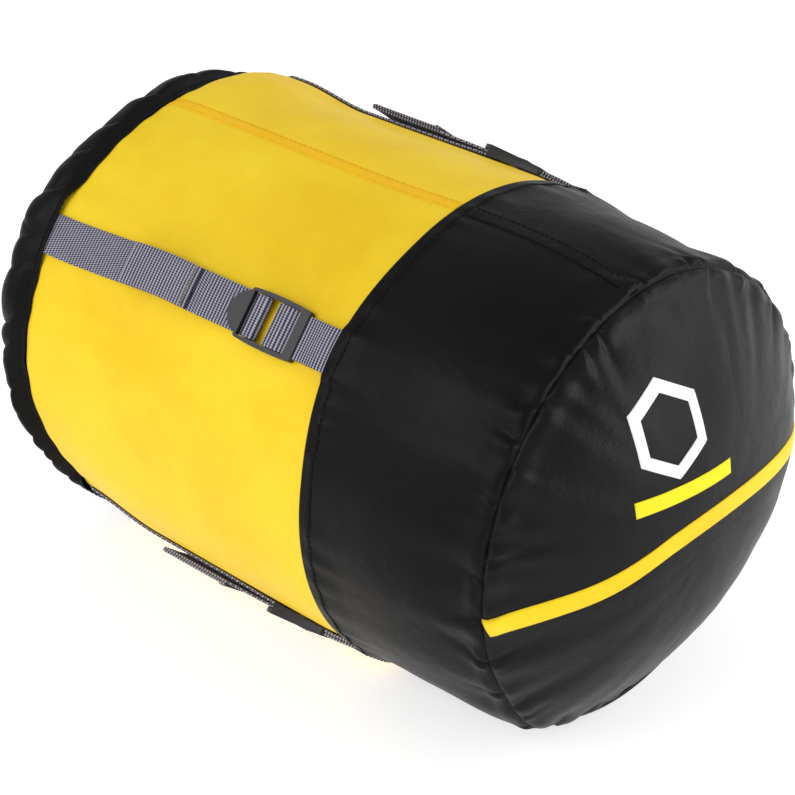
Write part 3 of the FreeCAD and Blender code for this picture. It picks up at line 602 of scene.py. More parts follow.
def hem_surface(x, theta):
    """The folded hem over the seam of the two walls: a soft edge, a flat, then the stitched dip."""
    t = (x - SEAM_X) / (HEM_END_X - SEAM_X)
    edge = smooth(t, -0.05, 0.12)
    dip = 1 - 0.35 * smooth(t, 0.72, 0.88)
    folds = puckers(theta, 17 * MM, 25) * 0.45 * MM * smooth(t, 0, 0.9)
    return SEAM_R + HEM_HEIGHT * edge * dip + strap_rise(theta) + folds


# ---------------------------------------------------------------- cloth pieces

CLOTH = 0.5 * MM
LID_CLOTH = 0.4 * MM


def ring_sheet(name, xs, surface, columns, material):
    """A tube of cloth from a surface(x, theta) of outer radii."""
    theta, x = around(columns, xs)
    sheet = grid_mesh(name, flatten_under(round_points(x, surface(x, theta), theta)), material)
    thicken(sheet, CLOTH)
    return sheet


def upper_wall():
    xs = np.linspace(WALL_END_X, SEAM_X + 0.6 * MM, 150)
    wall = ring_sheet("sack_upper_wall", xs, upper_surface, 600, YELLOW)
    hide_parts("upper_wall")
    return blend_wall(wall)


def blend_wall(piece):
    """Bakes the placement of a piece of the upper wall into its mesh."""
    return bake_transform(piece)


def lower_wall():
    t = np.linspace(0, 1, 150)
    start = HEM_END_X - 0.8 * MM
    xs = start + (BASE_X - 0.2 * MM - start) * (1 - (1 - t) ** 1.35)
    wall = ring_sheet("sack_lower_wall", xs, lower_surface, 660, BLACK)
    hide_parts("lower_wall")
    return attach(wall, "base")


def base_panel():
    columns, rows = 600, 130
    theta, t = around(columns, np.linspace(0, 1, rows))
    r = 0.4 * MM + (BASE_R - 0.6 * MM) * (1 - (1 - t) ** 1.35)
    points = on_dome(r * np.cos(theta), r * np.sin(theta)).reshape(-1, 3)
    faces = [tuple(reversed(face)) for face in grid_faces(rows, columns, False, True)]
    faces.append(tuple(range(columns)))
    panel = make_mesh("sack_base_panel", points, faces, BLACK_PAINTED_SHEEN)
    thicken(panel, CLOTH)
    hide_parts("base_panel")
    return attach(panel, "base")


def seam_hem():
    t = np.concatenate([[0, 0, 0.01, 0.03, 0.06], np.linspace(0.1, 1.0, 22)])
    xs = SEAM_X + (HEM_END_X - SEAM_X) * t
    theta, x = around(720, xs)
    r = hem_surface(x, theta)
    r[0] -= 1.0 * MM
    x[0] += 0.8 * MM
    hem = grid_mesh("sack_seam_hem", flatten_under(round_points(x, r, theta)), BLACK)
    thicken(hem, 0.35 * MM)
    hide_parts("seam_hem")
    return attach(hem, "base")


# The side seam's angle round the sack, and half the angle that it covers on each wall.
SIDE_SEAM = math.radians(97)
SEAM_HALF = math.radians(1.6)
LOWER_SEAM_HALF = SEAM_HALF * 1.1


def seam_strip(name, surface, start, end, half_angle, height, material):
    """A lapped side seam: a strip of doubled cloth along the wall, with softly rolled edges."""
    across = np.array([-1, -0.96, -0.85, -0.5, 0, 0.5, 0.85, 0.96, 1])
    rise = np.array([-0.25, 0.55, 0.92, 1, 1, 1, 0.92, 0.55, -0.25])
    xs = np.linspace(start, end, max(2, round((end - start) / (1.5 * MM))))
    side, x = np.meshgrid(across, xs)
    waver = noise(np.stack([x, 0 * x, 0 * x], axis=-1), 30 * MM, 61) * 0.3 * MM / SEAM_R
    theta = SIDE_SEAM + side * half_angle + waver
    points = round_points(x, surface(x, theta) + rise * height, theta)
    strip = grid_mesh(name, points, material, wrap_columns=False)
    thicken(strip, 0.3 * MM)
    return strip


def side_seams():
    yellow = seam_strip(
        "sack_upper_side_seam", upper_surface, LID_EDGE_X - 3 * MM, SEAM_X, SEAM_HALF,
        0.3 * MM, YELLOW_DOUBLE,
    )
    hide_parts("upper_side_seam")
    blend_wall(yellow)
    black = seam_strip(
        "sack_lower_side_seam", lower_surface, HEM_END_X, BASE_X - 0.6 * MM, LOWER_SEAM_HALF,
        0.4 * MM, BLACK,
    )
    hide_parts("lower_side_seam")
    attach(black, "base")


def dome_patch(name, outline_grid, lift, thickness, material):
    """A thin print or ribbon laid on the domed base, from a grid of (y, z) places."""
    y, z = outline_grid
    points = on_dome(y, z, lift).reshape(-1, 3)
    faces = [tuple(reversed(face)) for face in grid_faces(*y.shape)]
    patch = make_mesh(name, points, faces, material)
    normals_out(patch)
    thicken(patch, thickness)
    return patch


def normals_out(obj):
    """Turns an open patch's faces towards +X."""
    obj.data.update()
    if sum(face.normal.x for face in obj.data.polygons) < 0:
        obj.data.flip_normals()


def base_stripe():
    """The ribbon: an arc across the base that dips where the cloth sags."""
    bend, middle_y, top, width = 280 * MM, 10 * MM, 12.1 * MM, 9 * MM
    y_end = half_width("base_stripe")
    y, side = np.meshgrid(np.linspace(-y_end, y_end, 220), np.linspace(-0.5, 0.5, 9))
    angle = np.arcsin(np.clip((y - middle_y) / bend, -1, 1))
    radius = bend + side * width
    yy = middle_y + radius * np.sin(angle)
    dip = 4.5 * MM * np.exp(-((y + 62 * MM) / (28 * MM)) ** 2)
    zz = top - bend + radius * np.cos(angle) - dip
    inside = np.minimum(1, (BASE_R - 0.4 * MM) / np.hypot(yy, zz))
    rolled = 0.55 * MM - 0.35 * MM * smooth(np.abs(side), 0.42, 0.5)
    stripe = dome_patch("base_stripe_ribbon", (yy * inside, zz * inside), rolled, 0.4 * MM, YELLOW)
    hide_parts("base_stripe")
    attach(stripe, "base")


PRINT, PRINT_LIFT = 0.2 * MM, 0.22 * MM
MARK_LINE = 6 * MM


def base_print():
    """A plain hexagon ring with a corner upwards, and a plain bar."""
    low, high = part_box("base_mark")
    middle_y, middle_z = (low.y + high.y) / 2, (low.z + high.z) / 2 - AXIS_Z
    outer = (high.z - low.z) / 2
    sides, steps = 6, 14
    corners = np.arange(sides + 1)
    angles = TURN * (corners + 0.5) / sides
    along = np.linspace(0, sides, sides * steps + 1)
    size = np.linspace(outer - MARK_LINE, outer, 6)[:, None]
    y = middle_y + size * np.interp(along, corners, np.cos(angles))
    z = middle_z + size * np.interp(along, corners, np.sin(angles))
    mark = dome_patch("base_print_mark", (y, z), PRINT_LIFT, PRINT, WHITE_PRINT)
    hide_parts("base_mark")
    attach(mark, "base")
    low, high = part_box("base_bar")
    y, z = np.meshgrid(np.linspace(low.y, high.y, 60), np.linspace(low.z, high.z, 9) - AXIS_Z)
    bar = dome_patch("base_print_bar", (y, z), PRINT_LIFT, PRINT, YELLOW_PRINT)
    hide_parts("base_bar")
    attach(bar, "base")


# ---------------------------------------------------------------- thread

def tube(name, lines, radius, material, sides=6, closed=False):
    """One mesh of tubes along several lines of points. radius may vary along a line."""
    vertices, faces = [], []
    for line in lines:
        line = np.asarray(line, float)
        count = len(line)
        if closed:
            tangent = np.roll(line, -1, axis=0) - np.roll(line, 1, axis=0)
        else:
            tangent = np.gradient(line, axis=0)
        tangent /= np.linalg.norm(tangent, axis=1)[:, None]
        first = np.cross(tangent, (0.31, 0.52, 0.79))
        first /= np.linalg.norm(first, axis=1)[:, None]
        second = np.cross(tangent, first)
        radii = np.broadcast_to(np.asarray(radius, float), count)[:, None]
        base = len(vertices)
        for s in range(sides):
            a = TURN * s / sides
            vertices.extend(line + radii * (first * math.cos(a) + second * math.sin(a)))
        for s in range(sides):
            a, b = base + s * count, base + (s + 1) % sides * count
            for i in range(count if closed else count - 1):
                j = (i + 1) % count
                faces.append((a + i, a + j, b + j, b + i))
        if not closed:
            faces.append(tuple(base + s * count for s in range(sides)))
            faces.append(tuple(base + s * count + count - 1 for s in reversed(range(sides))))
    return make_mesh(name, vertices, faces, material)


STITCH = 2.5 * MM
STITCH_GAP = 0.7 * MM
THREAD = 0.24 * MM


def stitches(name, points, outwards, material):
    """A row of stitches along a line on the cloth: each rises out of it and dives back in."""
    points = np.asarray(points, float)
    steps = np.linalg.norm(np.diff(points, axis=0), axis=1)
    length = np.concatenate([[0], np.cumsum(steps)])
    count = int(length[-1] // (STITCH + STITCH_GAP))
    lines = []
    arch = np.array([-0.5, 0.7, 1.0, 0.7, -0.5]) * THREAD
    for k in range(count):
        start = k * (STITCH + STITCH_GAP) + STITCH_GAP / 2
        at = start + np.array([0, 0.14, 0.5, 0.86, 1]) * STITCH
        where = np.stack([np.interp(at, length, points[:, i]) for i in range(3)], axis=1)
        out = np.stack([np.interp(at, length, outwards[:, i]) for i in range(3)], axis=1)
        lines.append(where + out * arch[:, None])
    return tube(name, lines, THREAD, material)


def round_stitches(name, place_points, material):
    """Stitches right round the sack, at the points that place_points(theta) gives."""
    theta = np.linspace(0, TURN, 900)
    return stitches(name, flatten_under(place_points(theta)), outward(theta), material)


def line_stitches(name, surface, start, end, angle, lift, material):
    """Stitches along the sack at one angle."""
    x = np.linspace(start, end, 200)
    theta = np.full_like(x, angle)
    points = round_points(x, surface(x, theta) + lift, theta)
    return stitches(name, points, outward(theta), material)


def hem_stitch_points(theta):
    x = np.full_like(theta, HEM_END_X - 0.9 * MM)
    return round_points(x, hem_surface(x, theta), theta)


def cloth_stitching():
    hem = round_stitches("hem_topstitch", hem_stitch_points, BLACK_THREAD)
    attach(hem, "base")
    inset = 0.86
    for k, side in enumerate((-inset, inset)):
        angle = SIDE_SEAM + side * LOWER_SEAM_HALF
        line = line_stitches(
            "lower_seam_stitches_%d" % (k + 1), lower_surface, HEM_END_X, BASE_X - 4 * MM,
            angle, 0.35 * MM, BLACK_THREAD,
        )
        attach(line, "base")
        angle = SIDE_SEAM + side * SEAM_HALF
        line = line_stitches(
            "upper_seam_stitches_%d" % (k + 1), upper_surface, LID_EDGE_X, SEAM_X - 1 * MM,
            angle, 0.24 * MM, YELLOW_THREAD,
        )
        blend_wall(line)


# ---------------------------------------------------------------- the lid

LOBES = 34
LID_BEND = LID_R - LID_PANEL_R
# Where the skirt's edge is drawn towards the lid's end, and how far.
LID_PULLS = [(math.radians(202), 6.5 * MM), (math.radians(62), 5.5 * MM)]
# How far along the skirt its hem is stitched, from 0 at its edge to 1 at the rim.
LID_STITCH = 0.095


def valley_angles():
    """The creases between the lid's gathers, unevenly spaced from 0 to a whole turn."""
    widths = 1 + 0.62 * lattice_values(np.arange(LOBES), 3, 5, 83)
    edges = np.concatenate([[0], np.cumsum(widths)])
    return edges / edges[-1] * TURN


VALLEYS = valley_angles()


def lobes(theta, skew=0.0):
    """Gathers round the lid with round tops and sharp valleys, from 0 to about 1."""
    theta = (theta - skew) % TURN
    ring = on_ring(theta, LID_R)
    height = 0.8 + 0.3 * noise(ring, 34 * MM, 43)
    index = np.clip(np.searchsorted(VALLEYS, theta, side="right") - 1, 0, LOBES - 1)
    width = VALLEYS[index + 1] - VALLEYS[index]
    share = np.clip((theta - VALLEYS[index]) / width, 0, 1)
    lean = 1.15 - 0.5 * share
    return np.sin(share * math.pi) ** 0.45 * lean * height * np.sqrt(width * LOBES / TURN)


def lid_profile(s):
    """The smooth skirt from its edge, s = 0, round its bend to the rim, s = 1: x, r and normal."""
    straight = LID_EDGE_X - (LID_RIM_X + LID_BEND)
    length = straight + LID_BEND * math.pi / 2
    along = s * length
    angle = np.clip((along - straight) / LID_BEND, 0, math.pi / 2)
    x = np.where(along < straight, LID_EDGE_X - along, LID_RIM_X + LID_BEND * (1 - np.sin(angle)))
    r = LID_R - LID_BEND * (1 - np.cos(angle))
    return x, r, -np.sin(angle), np.cos(angle)


def lid_surface(s, theta):
    """Points of the gathered skirt."""
    x, r, normal_x, normal_r = lid_profile(s)
    ring = on_ring(theta, LID_R)
    size = (0.2 + 3.0 * smooth(s, 0.08, 0.4) - 2.0 * smooth(s, 0.5, 0.9)) * MM
    shape = lobes(theta, 0.13 * s) - 0.6
    place = ring + np.stack([0 * s, 0 * s, 40 * MM * s], axis=-1)
    small = noise(place, 9 * MM, 47) * 0.45 * MM + ridges(place, 16 * MM, 48) * 0.5 * MM
    stitched = 0.35 * MM * np.exp(-((s - LID_STITCH) / 0.02) ** 2)
    offset = size * shape + small * smooth(s, 0.0, 0.3) - stitched
    free = smooth(strap_distance(theta), 12 * MM, 22 * MM)
    near_edge = 1 - smooth(s, 0.3, 0.6)
    low = np.minimum(offset, 0.45 * MM)
    offset = offset + (low - offset) * (1 - free) * (0.4 + 0.6 * near_edge)
    ragged = noise(ring, 21 * MM, 49) * 0.6 * MM + noise(ring, 3.5 * MM, 51) * 0.25 * MM
    pull = 0 * theta
    for middle, most in LID_PULLS:
        gap = np.abs(turned(theta, middle))
        pull = pull + most * (1 - smooth(gap, math.radians(14), math.radians(48)))
    edge_x = x + ragged * (1 - smooth(s, 0, 0.25)) - pull * (1 - smooth(s, 0, 0.75))
    hug = free * (upper_surface(LID_EDGE_X - pull, theta) + 0.95 * MM)
    hug = hug + (1 - free) * (LID_R - 0.35 * MM)
    radius = hug + (r + offset * normal_r - hug) * smooth(s, -0.02, 0.26)
    return round_points(edge_x + offset * normal_x, radius, theta)


def lid_skirt():
    theta, s = around(900, np.concatenate([[0, 0, 0.008], np.linspace(0.03, 1.0, 52)]))
    points = lid_surface(s, theta)
    points[0] = points[1] - 0.8 * MM * outward(theta[0]) - (1.0 * MM, 0, 0)
    skirt = grid_mesh("lid_skirt_cloth", flatten_under(points), BLACK)
    skirt.data.flip_normals()
    thicken(skirt, LID_CLOTH)
    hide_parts("lid_skirt", "lid_hem")
    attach(skirt, "lid")


def lid_face(r, theta):
    """Points of the lid's round end, gathered at its rim."""
    share = r / LID_PANEL_R
    x = LID_TOP_X + (LID_RIM_X - LID_TOP_X) * share ** 2
    away = LID_PANEL_R - r
    folds = (lobes(theta, 0.13) - 0.6) * 1.6 * MM * np.exp(-away / (15 * MM))
    long_folds = puckers(theta, 46 * MM, 53) * 1.3 * MM * np.exp(-away / (34 * MM))
    place = np.stack([0 * r, r * np.cos(theta), r * np.sin(theta)], axis=-1)
    lump = noise(place, 40 * MM, 55) * 1.2 * MM * smooth(away, 0, 15 * MM)
    middle = smooth(r, 10 * MM, 65 * MM)
    x = x - (folds + long_folds * smooth(away, 0, 8 * MM)) * middle - lump
    return round_points(x, r, theta)


def lid_panel():
    columns, rows = 720, 110
    theta, t = around(columns, np.linspace(0, 1, rows))
    r = 0.4 * MM + (LID_PANEL_R - 0.4 * MM) * (1 - (1 - t) ** 1.3)
    points = lid_face(r, theta).reshape(-1, 3)
    faces = grid_faces(rows, columns, False, True)
    faces.append(tuple(reversed(range(columns))))
    panel = make_mesh("lid_end_panel", points, faces, BLACK)
    thicken(panel, LID_CLOTH)
    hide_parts("lid_panel")
    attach(panel, "lid")
    theta = np.linspace(0, TURN, 900, endpoint=False)
    rim = lid_surface(np.full_like(theta, 1.0), theta)
    rim[:, 0] -= 0.1 * MM
    binding = tube("lid_rim_binding", [rim], 0.6 * MM, BLACK, sides=10, closed=True)
    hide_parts("lid_binding")
    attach(binding, "lid")


def lid_stitch_points(theta):
    return lid_surface(np.full_like(theta, LID_STITCH), theta)


def lid_stitching():
    row = round_stitches("lid_hem_stitches", lid_stitch_points, BLACK_THREAD)
    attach(row, "lid")


# ---------------------------------------------------------------- the mouth, under the lid

def mouth_shoulder():
    low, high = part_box("mouth_shoulder")
    rim_x, dish_x = low.x, high.x - 0.9 * MM
    neck = half_width("cord_tunnel") - 1 * MM
    neck_x = LID_EDGE_X + 0.8 * MM
    corners = np.array([(rim_x, RIM_R), (dish_x, 90 * MM), (dish_x, neck), (neck_x, neck)])
    columns, steps = 540, 20
    along = np.linspace(0, len(corners) - 1, (len(corners) - 1) * steps + 1)
    line_x, line_r = (np.interp(along, range(len(corners)), values) for values in corners.T)
    theta, x = around(columns, line_x)
    r = np.repeat(line_r[:, None], columns, axis=1)
    window = smooth(r, neck, 50 * MM) * smooth(RIM_R - r, 0, 12 * MM)
    x = x + np.abs(np.sin(theta * 27 + puckers(theta, 30 * MM, 71))) * 1.1 * MM * window
    cloth = grid_mesh("mouth_shoulder_cloth", round_points(x, r, theta), YELLOW)
    thicken(cloth, CLOTH, 0.0)
    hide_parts("mouth_shoulder")
    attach(cloth, "mouth")


TUNNEL_RING = 32 * MM
tunnel_low, tunnel_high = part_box("cord_tunnel")
TUNNEL_X = (tunnel_low.x + tunnel_high.x) / 2


def cord_tunnel():
    """The gathered tube of cloth that the drawcord runs in."""
    theta, turn = around(720, np.linspace(0, TURN, 20, endpoint=False))
    gather = np.abs(np.sin(theta * 40 + np.sin(theta * 7))) ** 0.7
    small = (tunnel_high.x - tunnel_low.x) / 2 - 0.5 * MM + 0.5 * MM * gather
    points = round_points(TUNNEL_X + small * np.sin(turn), TUNNEL_RING + small * np.cos(turn), theta)
    tunnel = grid_mesh("cord_tunnel_cloth", points, YELLOW, wrap_rows=True)
    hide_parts("cord_tunnel")
    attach(tunnel, "mouth")


def drawcord():
    """The cord: up one leg, round the tunnel's ring and out along the other leg."""
    low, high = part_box("drawcord")
    gap, bend = 1.6 * MM, 4 * MM
    centre = (gap + bend, math.sqrt((TUNNEL_RING + bend) ** 2 - (gap + bend) ** 2))
    meet = math.atan2(centre[1], centre[0])
    legs = [(gap, z) for z in np.linspace(high.z - AXIS_Z, centre[1], 40, endpoint=False)]
    corner = curve(centre, bend, 180, 180 + math.degrees(meet))
    ring = curve((0, 0), TUNNEL_RING, math.degrees(meet), -90, 90)[1:]
    half = np.array(legs + corner + ring)
    route = np.concatenate([half, half[::-1][1:] * (-1, 1)])
    points = np.stack([np.full(len(route), TUNNEL_X), route[:, 0], AXIS_Z + route[:, 1]], axis=1)
    cord = tube("drawcord_braid", [points], (high.x - low.x) / 2, CORD, sides=14)
    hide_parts("drawcord")
    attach(cord, "mouth")


# ---------------------------------------------------------------- straps

BUCKLE_X = -4 * MM
RIB_HEIGHT = 0.08 * MM
ACROSS = np.array([-1, -0.985, -0.94, -0.7, -0.35, 0, 0.35, 0.7, 0.94, 0.985, 1])
SELVAGE = np.array([0.35, 0.8, 1, 1, 1, 1, 1, 1, 1, 0.8, 0.35])


def resampled(path, step=0.3 * MM):
    path = np.asarray(path, float)
    length = np.concatenate([[0], np.cumsum(np.linalg.norm(np.diff(path, axis=0), axis=1))])
    keep = np.concatenate([[True], np.diff(length) > 1e-9])
    path, length = path[keep], length[keep]
    at = np.linspace(0, length[-1], max(3, int(length[-1] / step)))
    return np.stack([np.interp(at, length, path[:, i]) for i in (0, 1)], axis=1), at


# How far each strap strays to its side on the way to the lid.
DRIFTS = {1: 1.5 * MM, 2: 4.5 * MM, 3: -2.0 * MM, 4: 2.0 * MM}


def lay(x, across, r, place):
    """World points of places along, across and out from a strap's line."""
    c, s = math.cos(place), math.sin(place)
    drift = next(DRIFTS[strap] for strap in STRAPS if PLACES[strap] == place)
    across = across + drift * smooth(x, -58 * MM, -150 * MM)
    return settled(np.stack([x, r * c - across * s, AXIS_Z + r * s + across * c], axis=-1))


def ribbon(name, path, place, sides, along=0.0, frayed=False):
    """Webbing along a path of (x, r): sides are the materials of its left and right face."""
    line, at = resampled(path)
    tangent = np.gradient(line, axis=0)
    tangent /= np.linalg.norm(tangent, axis=1)[:, None]
    normal = np.stack([-tangent[:, 1], tangent[:, 0]], axis=1)
    u = at + along
    rib = RIB_HEIGHT * np.sin(u * TURN / RIB_PITCH)
    droop = 0.3 * MM * smooth(np.abs(line[:, 0] - BUCKLE_X), 22 * MM, 40 * MM)
    across = np.concatenate([ACROSS, ACROSS[::-1]])
    half = WEB_T / 2 - RIB_HEIGHT
    height = np.concatenate([SELVAGE, -SELVAGE[::-1]])
    off = height[None, :] * half + np.sign(height)[None, :] * rib[:, None] * (np.abs(height) > 0.9)
    x = line[:, 0][:, None] + normal[:, 0][:, None] * off
    r = line[:, 1][:, None] + normal[:, 1][:, None] * off - droop[:, None] * across[None, :] ** 2
    if frayed:
        edge = noise(np.stack([across * WEB_HALF, height, 0 * across], axis=-1), 0.7 * MM, 91)
        x[-1] += edge * 0.35 * MM
    seat = np.stack([x * 0, x * 0, x], axis=-1)
    waver = noise(seat, 25 * MM, 93) * 0.25 * MM
    width = across[None, :] * WEB_HALF + waver * smooth(np.abs(x - BUCKLE_X), 25 * MM, 45 * MM)
    points = lay(x, width, r, place)
    rows, columns = points.shape[:2]
    faces = grid_faces(rows, columns, False, True)
    faces.append(tuple(range(columns)))
    faces.append(tuple((rows - 1) * columns + k for k in reversed(range(columns))))
    obj = make_mesh(name, points.reshape(-1, 3), faces, sides[0])
    obj.data.materials.append(sides[1])
    half_way = len(ACROSS)
    layer = obj.data.uv_layers.new(name="weave")
    for face in obj.data.polygons:
        columns_used = [v % columns for v in face.vertices]
        if min(columns_used) >= half_way or sum(columns_used) / len(columns_used) > half_way + 1:
            face.material_index = 1
        for loop in face.loop_indices:
            vertex = obj.data.loops[loop].vertex_index
            layer.data[loop].uv = (u[vertex // columns], across[vertex % columns] * WEB_HALF)
    recalculate(obj)
    return obj


def recalculate(obj):
    """Points a closed mesh's faces outwards."""
    shape = bmesh.new()
    shape.from_mesh(obj.data)
    bmesh.ops.recalc_face_normals(shape, faces=shape.faces)
    shape.to_mesh(obj.data)
    shape.free()


def cut_path(path, first_x, last_x):
    """The straight stretch of a path between two x."""
    path = np.asarray(path)
    return [(x, np.interp(x, path[:, 0], path[:, 1])) for x in np.linspace(first_x, last_x, 40)]


# Where one piece of a strap ends and the next begins, from the lid to the tail.
LID_END = LID_EDGE_X + 4 * MM
FOLD_END = -52 * MM
LIFT_END = buckle_low.x + 7 * MM
# Where the webbing drops off the buckle's middle bar, and the radius that it bends at there.
DROP_X = neck_high.x + 3.4 * MM
DROP_BEND = 0.9 * MM
# The gap between two layers of webbing that lie on each other.
PLY_GAP = 0.05 * MM


def tucked(path):
    """A path whose far end dips in under the lid."""
    return [(x, r - 2.8 * MM * float(smooth(x, LID_EDGE_X - 1 * MM, run_low.x))) for x, r in path]


def strap_run(strap, place):
    """The webbing from the lid, under the buckle's middle bar and back over it."""
    half = WEB_T / 2
    start = (run_low.x, run_low.z + half)
    under_bar = (run_high.x, run_high.z - half)
    wrap_high = side_box("strap_wrap_%d" % strap, place)[1]
    over_r = wrap_high.z - half
    bend = (over_r - under_bar[1]) / 2
    centre = (wrap_high.x - half - bend, under_bar[1] + bend)
    neck_r = neck_low.z + half
    over = [under_bar]
    over += curve(centre, bend, -90, 90, 20)
    over += curve((DROP_X + DROP_BEND, over_r - DROP_BEND), DROP_BEND, 90, 180)
    over += curve((DROP_X - DROP_BEND, neck_r + DROP_BEND), DROP_BEND, 0, -90)
    over += [(neck_high.x, neck_r), (LIFT_END, neck_r + 0.1 * MM)]
    straight = [start, under_bar]
    lid_path = tucked(cut_path(straight, run_low.x, LID_END))
    run_path = cut_path(straight, LID_END, FOLD_END)
    turn_path = cut_path(straight, FOLD_END, under_bar[0]) + over
    pieces = (
        ("lid", lid_path, "lid", "mouth", run_low.x, LID_END),
        ("run", run_path, "mouth", "base", LID_END, FOLD_END),
        ("turn", turn_path, "base", "buckle_%d" % strap, FOLD_END, LIFT_END),
    )
    along = 0.0
    for part, path, first, second, from_x, to_x in pieces:
        name = "strap_%d_%s" % (strap, part)
        webbing = ribbon(name, path, place, (TWILL, RIBBED), along)
        along += resampled(path)[1][-1]
        if part == "run":
            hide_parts("strap_run_%d" % strap)
        if part == "turn":
            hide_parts("strap_wrap_%d" % strap)
        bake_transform(webbing)
    return along


def strap_tail(strap, place, along):
    """The tail that comes out under the buckle's tab and ends in a sewn double layer."""
    half = WEB_T / 2
    tail_low, tail_high = side_box("strap_end_%d" % strap, place)
    near = (LIFT_END, neck_low.z + half + 0.1 * MM)
    far = (tail_high.x + 0.3 * MM, neck_high.z - half)
    stops = (near[0], (near[0] + far[0]) / 2, far[0])
    bodies = ("buckle_%d" % strap, "strap_tail_%d" % strap, "strap_end_%d" % strap)
    for k in (0, 1):
        xs = np.linspace(stops[k], stops[k + 1], 30)
        path = [(x, np.interp(x, (far[0], near[0]), (far[1], near[1]))) for x in xs]
        neck = ribbon("strap_%d_neck_%d" % (strap, k + 1), path, place, (TWILL, RIBBED), along)
        along += resampled(path)[1][-1]
        if k == 1:
            twill_near_end(neck, far[0])
            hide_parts("strap_neck_%d" % strap)
        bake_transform(neck)
    fold = tail_low.x + half + PLY_GAP
    path = [far, (fold, far[1])] + curve((fold, far[1] + half), half, 270, 90, 10)
    path += [(tail_high.x - 0.2 * MM, far[1] + WEB_T)]
    tail = ribbon("strap_%d_end" % strap, path, place, (RIBBED, RIBBED), along, frayed=True)
    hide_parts("strap_end_%d" % strap)
    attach(tail, bodies[2])
    sew = bar_tack("strap_%d_tack" % strap, tail_high.x - 3.2 * MM, far[1] + WEB_T + half, place)
    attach(sew, bodies[2])


def twill_near_end(neck, end_x):
    """The last few millimetres before the sewn end are woven as twill."""
    for face in neck.data.polygons:
        if face.center.x < end_x + 5.5 * MM:
            face.material_index = 0


def bar_tack(name, x, r, place):
    """A zigzag of grey thread right across the webbing."""
    count = 34
    y = np.linspace(-0.93, 0.93, count) * WEB_HALF
    zig = np.where(np.arange(count) % 2, 1.0, -1.0) * 0.9 * MM
    seat = np.full(count, r) + 0.08 * MM
    lines = [lay(x + zig + row, y, seat, place) for row in (-0.25 * MM, 0.25 * MM)]
    return tube(name, lines, 0.27 * MM, GREY_THREAD)


def fixed_end(strap, place):
    """The short webbing sewn under the hem, and its loop round the buckle's fixed bar."""
    half = WEB_T / 2
    loop_low, loop_high = side_box("fixed_loop_%d" % strap, place)
    low_r, top_r = loop_low.z + half, loop_high.z - half
    bend = (top_r - low_r) / 2
    left = loop_low.x + half + bend
    hinge_x = fixed_low.x
    end_r = fixed_high.z - half
    crest, foot = 3.7 * MM, 9.4 * MM
    slope = [
        (x, top_r - (top_r - end_r) * float(smooth(x, crest, foot)))
        for x in np.linspace(crest, foot, 18)
    ]
    eye = curve((left, low_r + bend), bend, 270, 90, 20)
    path = [(hinge_x, low_r)] + eye + slope + [(hinge_x, end_r)]
    loop = ribbon("strap_%d_loop" % strap, path, place, (RIBBED, TWILL))
    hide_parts("fixed_loop_%d" % strap)
    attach(loop, "buckle_%d" % strap)
    inside = SEAM_X + 3 * MM
    top = [
        (x, end_r - 1.15 * MM * float(smooth(x, hinge_x + 2 * MM, inside)))
        for x in np.linspace(hinge_x, inside, 30)
    ]
    under = [(x, r - WEB_T - PLY_GAP) for x, r in top]
    along = resampled(path)[1][-1]
    upper = ribbon("strap_%d_anchor_top" % strap, top, place, (RIBBED, TWILL), along)
    lower = ribbon("strap_%d_anchor_under" % strap, under, place, (RIBBED, TWILL))
    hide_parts("fixed_webbing_%d" % strap)
    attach(upper, "base")
    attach(lower, "base")


def straps():
    for strap, place in PLACES.items():
        along = strap_run(strap, place)
        strap_tail(strap, place, along)
        fixed_end(strap, place)


# ---------------------------------------------------------------- moulded and metal parts

def dress(node, material, bevel=0.0):
    """Gives a CAD part its material and softens its edges."""
    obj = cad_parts[node]
    if obj.material_slots:
        for slot in obj.material_slots:
            slot.material = material
    else:
        obj.data.materials.append(material)
    if bevel:
        obj.modifiers.new("weld", "WELD").merge_threshold = 0.002 * MM
        edge = obj.modifiers.new("bevel", "BEVEL")
        edge.width = bevel
        edge.segments = 3
        edge.limit_method = "ANGLE"
        edge.angle_limit = math.radians(32)
        edge.harden_normals = True


def hard_parts():
    for strap in STRAPS:
        dress("buckle_%d" % strap, BUCKLES[strap], 0.45 * MM)
    dress("cord_lock_body", LOCK, 0.3 * MM)
    dress("cord_lock_button", LOCK, 0.3 * MM)
    dress("cord_lock_spring", STEEL)
    dress("tunnel_eyelet", EYELET, 0.15 * MM)
    dress("base_binding", BLACK)


# ---------------------------------------------------------------- the studio

LENS, SENSOR, CAMERA_AWAY = 104.1, 36.0, 1.076
FLOOR_HALF = 18.0


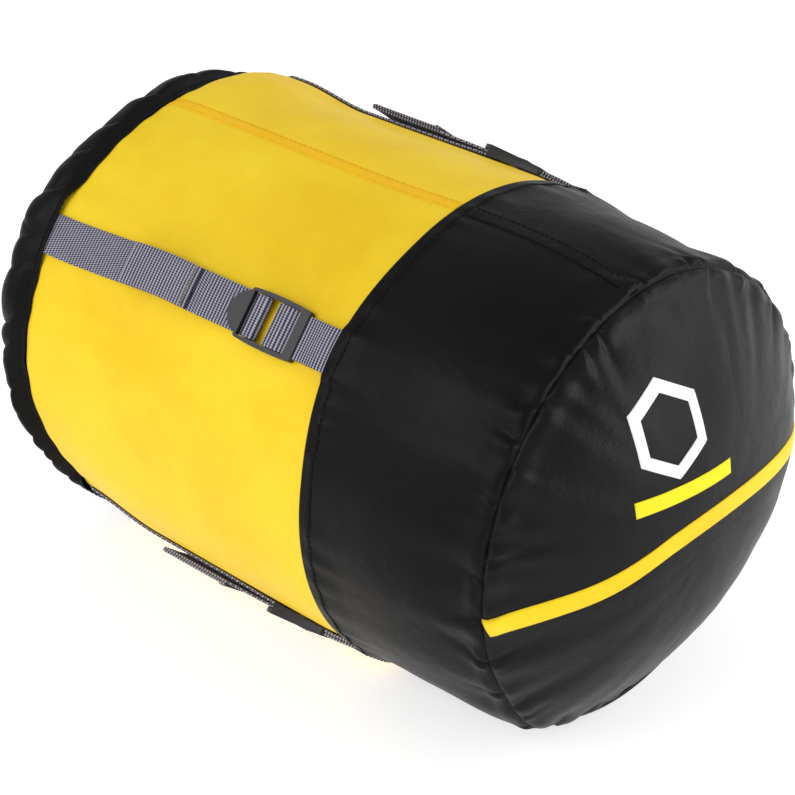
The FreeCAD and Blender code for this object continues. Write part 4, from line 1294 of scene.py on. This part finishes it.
def camera():
    azimuth, elevation = math.radians(42.7), math.radians(30.3)
    back = Vector((
        math.sin(azimuth) * math.cos(elevation),
        -math.cos(azimuth) * math.cos(elevation),
        math.sin(elevation),
    ))
    right = Vector((math.cos(azimuth), math.sin(azimuth), 0))
    up = back.cross(right)
    target = Vector((13.7 * MM, 0, AXIS_Z)) - right * 20.85 * MM + up * 4.49 * MM
    data = bpy.data.cameras.new("camera")
    data.lens = LENS
    data.sensor_width = SENSOR
    data.clip_end = 40
    obj = bpy.data.objects.new("camera", data)
    bpy.context.scene.collection.objects.link(obj)
    obj.location = target + back * CAMERA_AWAY
    obj.rotation_euler = Matrix((right, up, back)).transposed().to_euler()
    bpy.context.scene.camera = obj


def area_light(name, location, size, power):
    data = bpy.data.lights.new(name, "AREA")
    data.shape = "RECTANGLE"
    data.size, data.size_y = size
    data.energy = power
    light = bpy.data.objects.new(name, data)
    bpy.context.scene.collection.objects.link(light)
    light.location = location
    aim = Vector((0, 0, AXIS_Z)) - Vector(location)
    light.rotation_euler = aim.to_track_quat("-Z", "Y").to_euler()


def studio():
    scene = bpy.context.scene
    scene.view_settings.view_transform = "Standard"
    scene.world = bpy.data.worlds.new("studio")
    scene.world.use_nodes = True
    background = scene.world.node_tree.nodes["Background"]
    background.inputs["Color"].default_value = (1, 1, 1, 1)
    background.inputs["Strength"].default_value = 0.62
    area_light("key_light", (-0.35, -1.5, 1.15), (1.3, 0.9), 12)
    area_light("back_light", (1.1, 1.1, 0.9), (1.2, 0.7), 9)
    area_light("end_light", (1.7, 0.55, 0.45), (0.9, 0.7), 9)
    material, tree, shader = new_material("studio_floor", 0.9, 0.1)
    tone = noise_node(tree, object_space(tree), 3.0)
    paint(tree, shader, tone, [(0.3, (0.62, 0.62, 0.62)), (0.7, (0.64, 0.64, 0.64))])
    shader.inputs["Emission Color"].default_value = (1, 1, 1, 1)
    shader.inputs["Emission Strength"].default_value = 0.62
    corners = [(FLOOR_HALF * x, FLOOR_HALF * y, 0) for x, y in ((-1, -1), (1, -1), (1, 1), (-1, 1))]
    floor = make_mesh("studio_floor", corners, [(0, 1, 2, 3)], material, False)


# ---------------------------------------------------------------- the object

upper_wall()
lower_wall()
base_panel()
seam_hem()
side_seams()
base_stripe()
base_print()
cloth_stitching()
lid_skirt()
lid_panel()
lid_stitching()
mouth_shoulder()
cord_tunnel()
drawcord()
straps()
hard_parts()
camera()
studio()
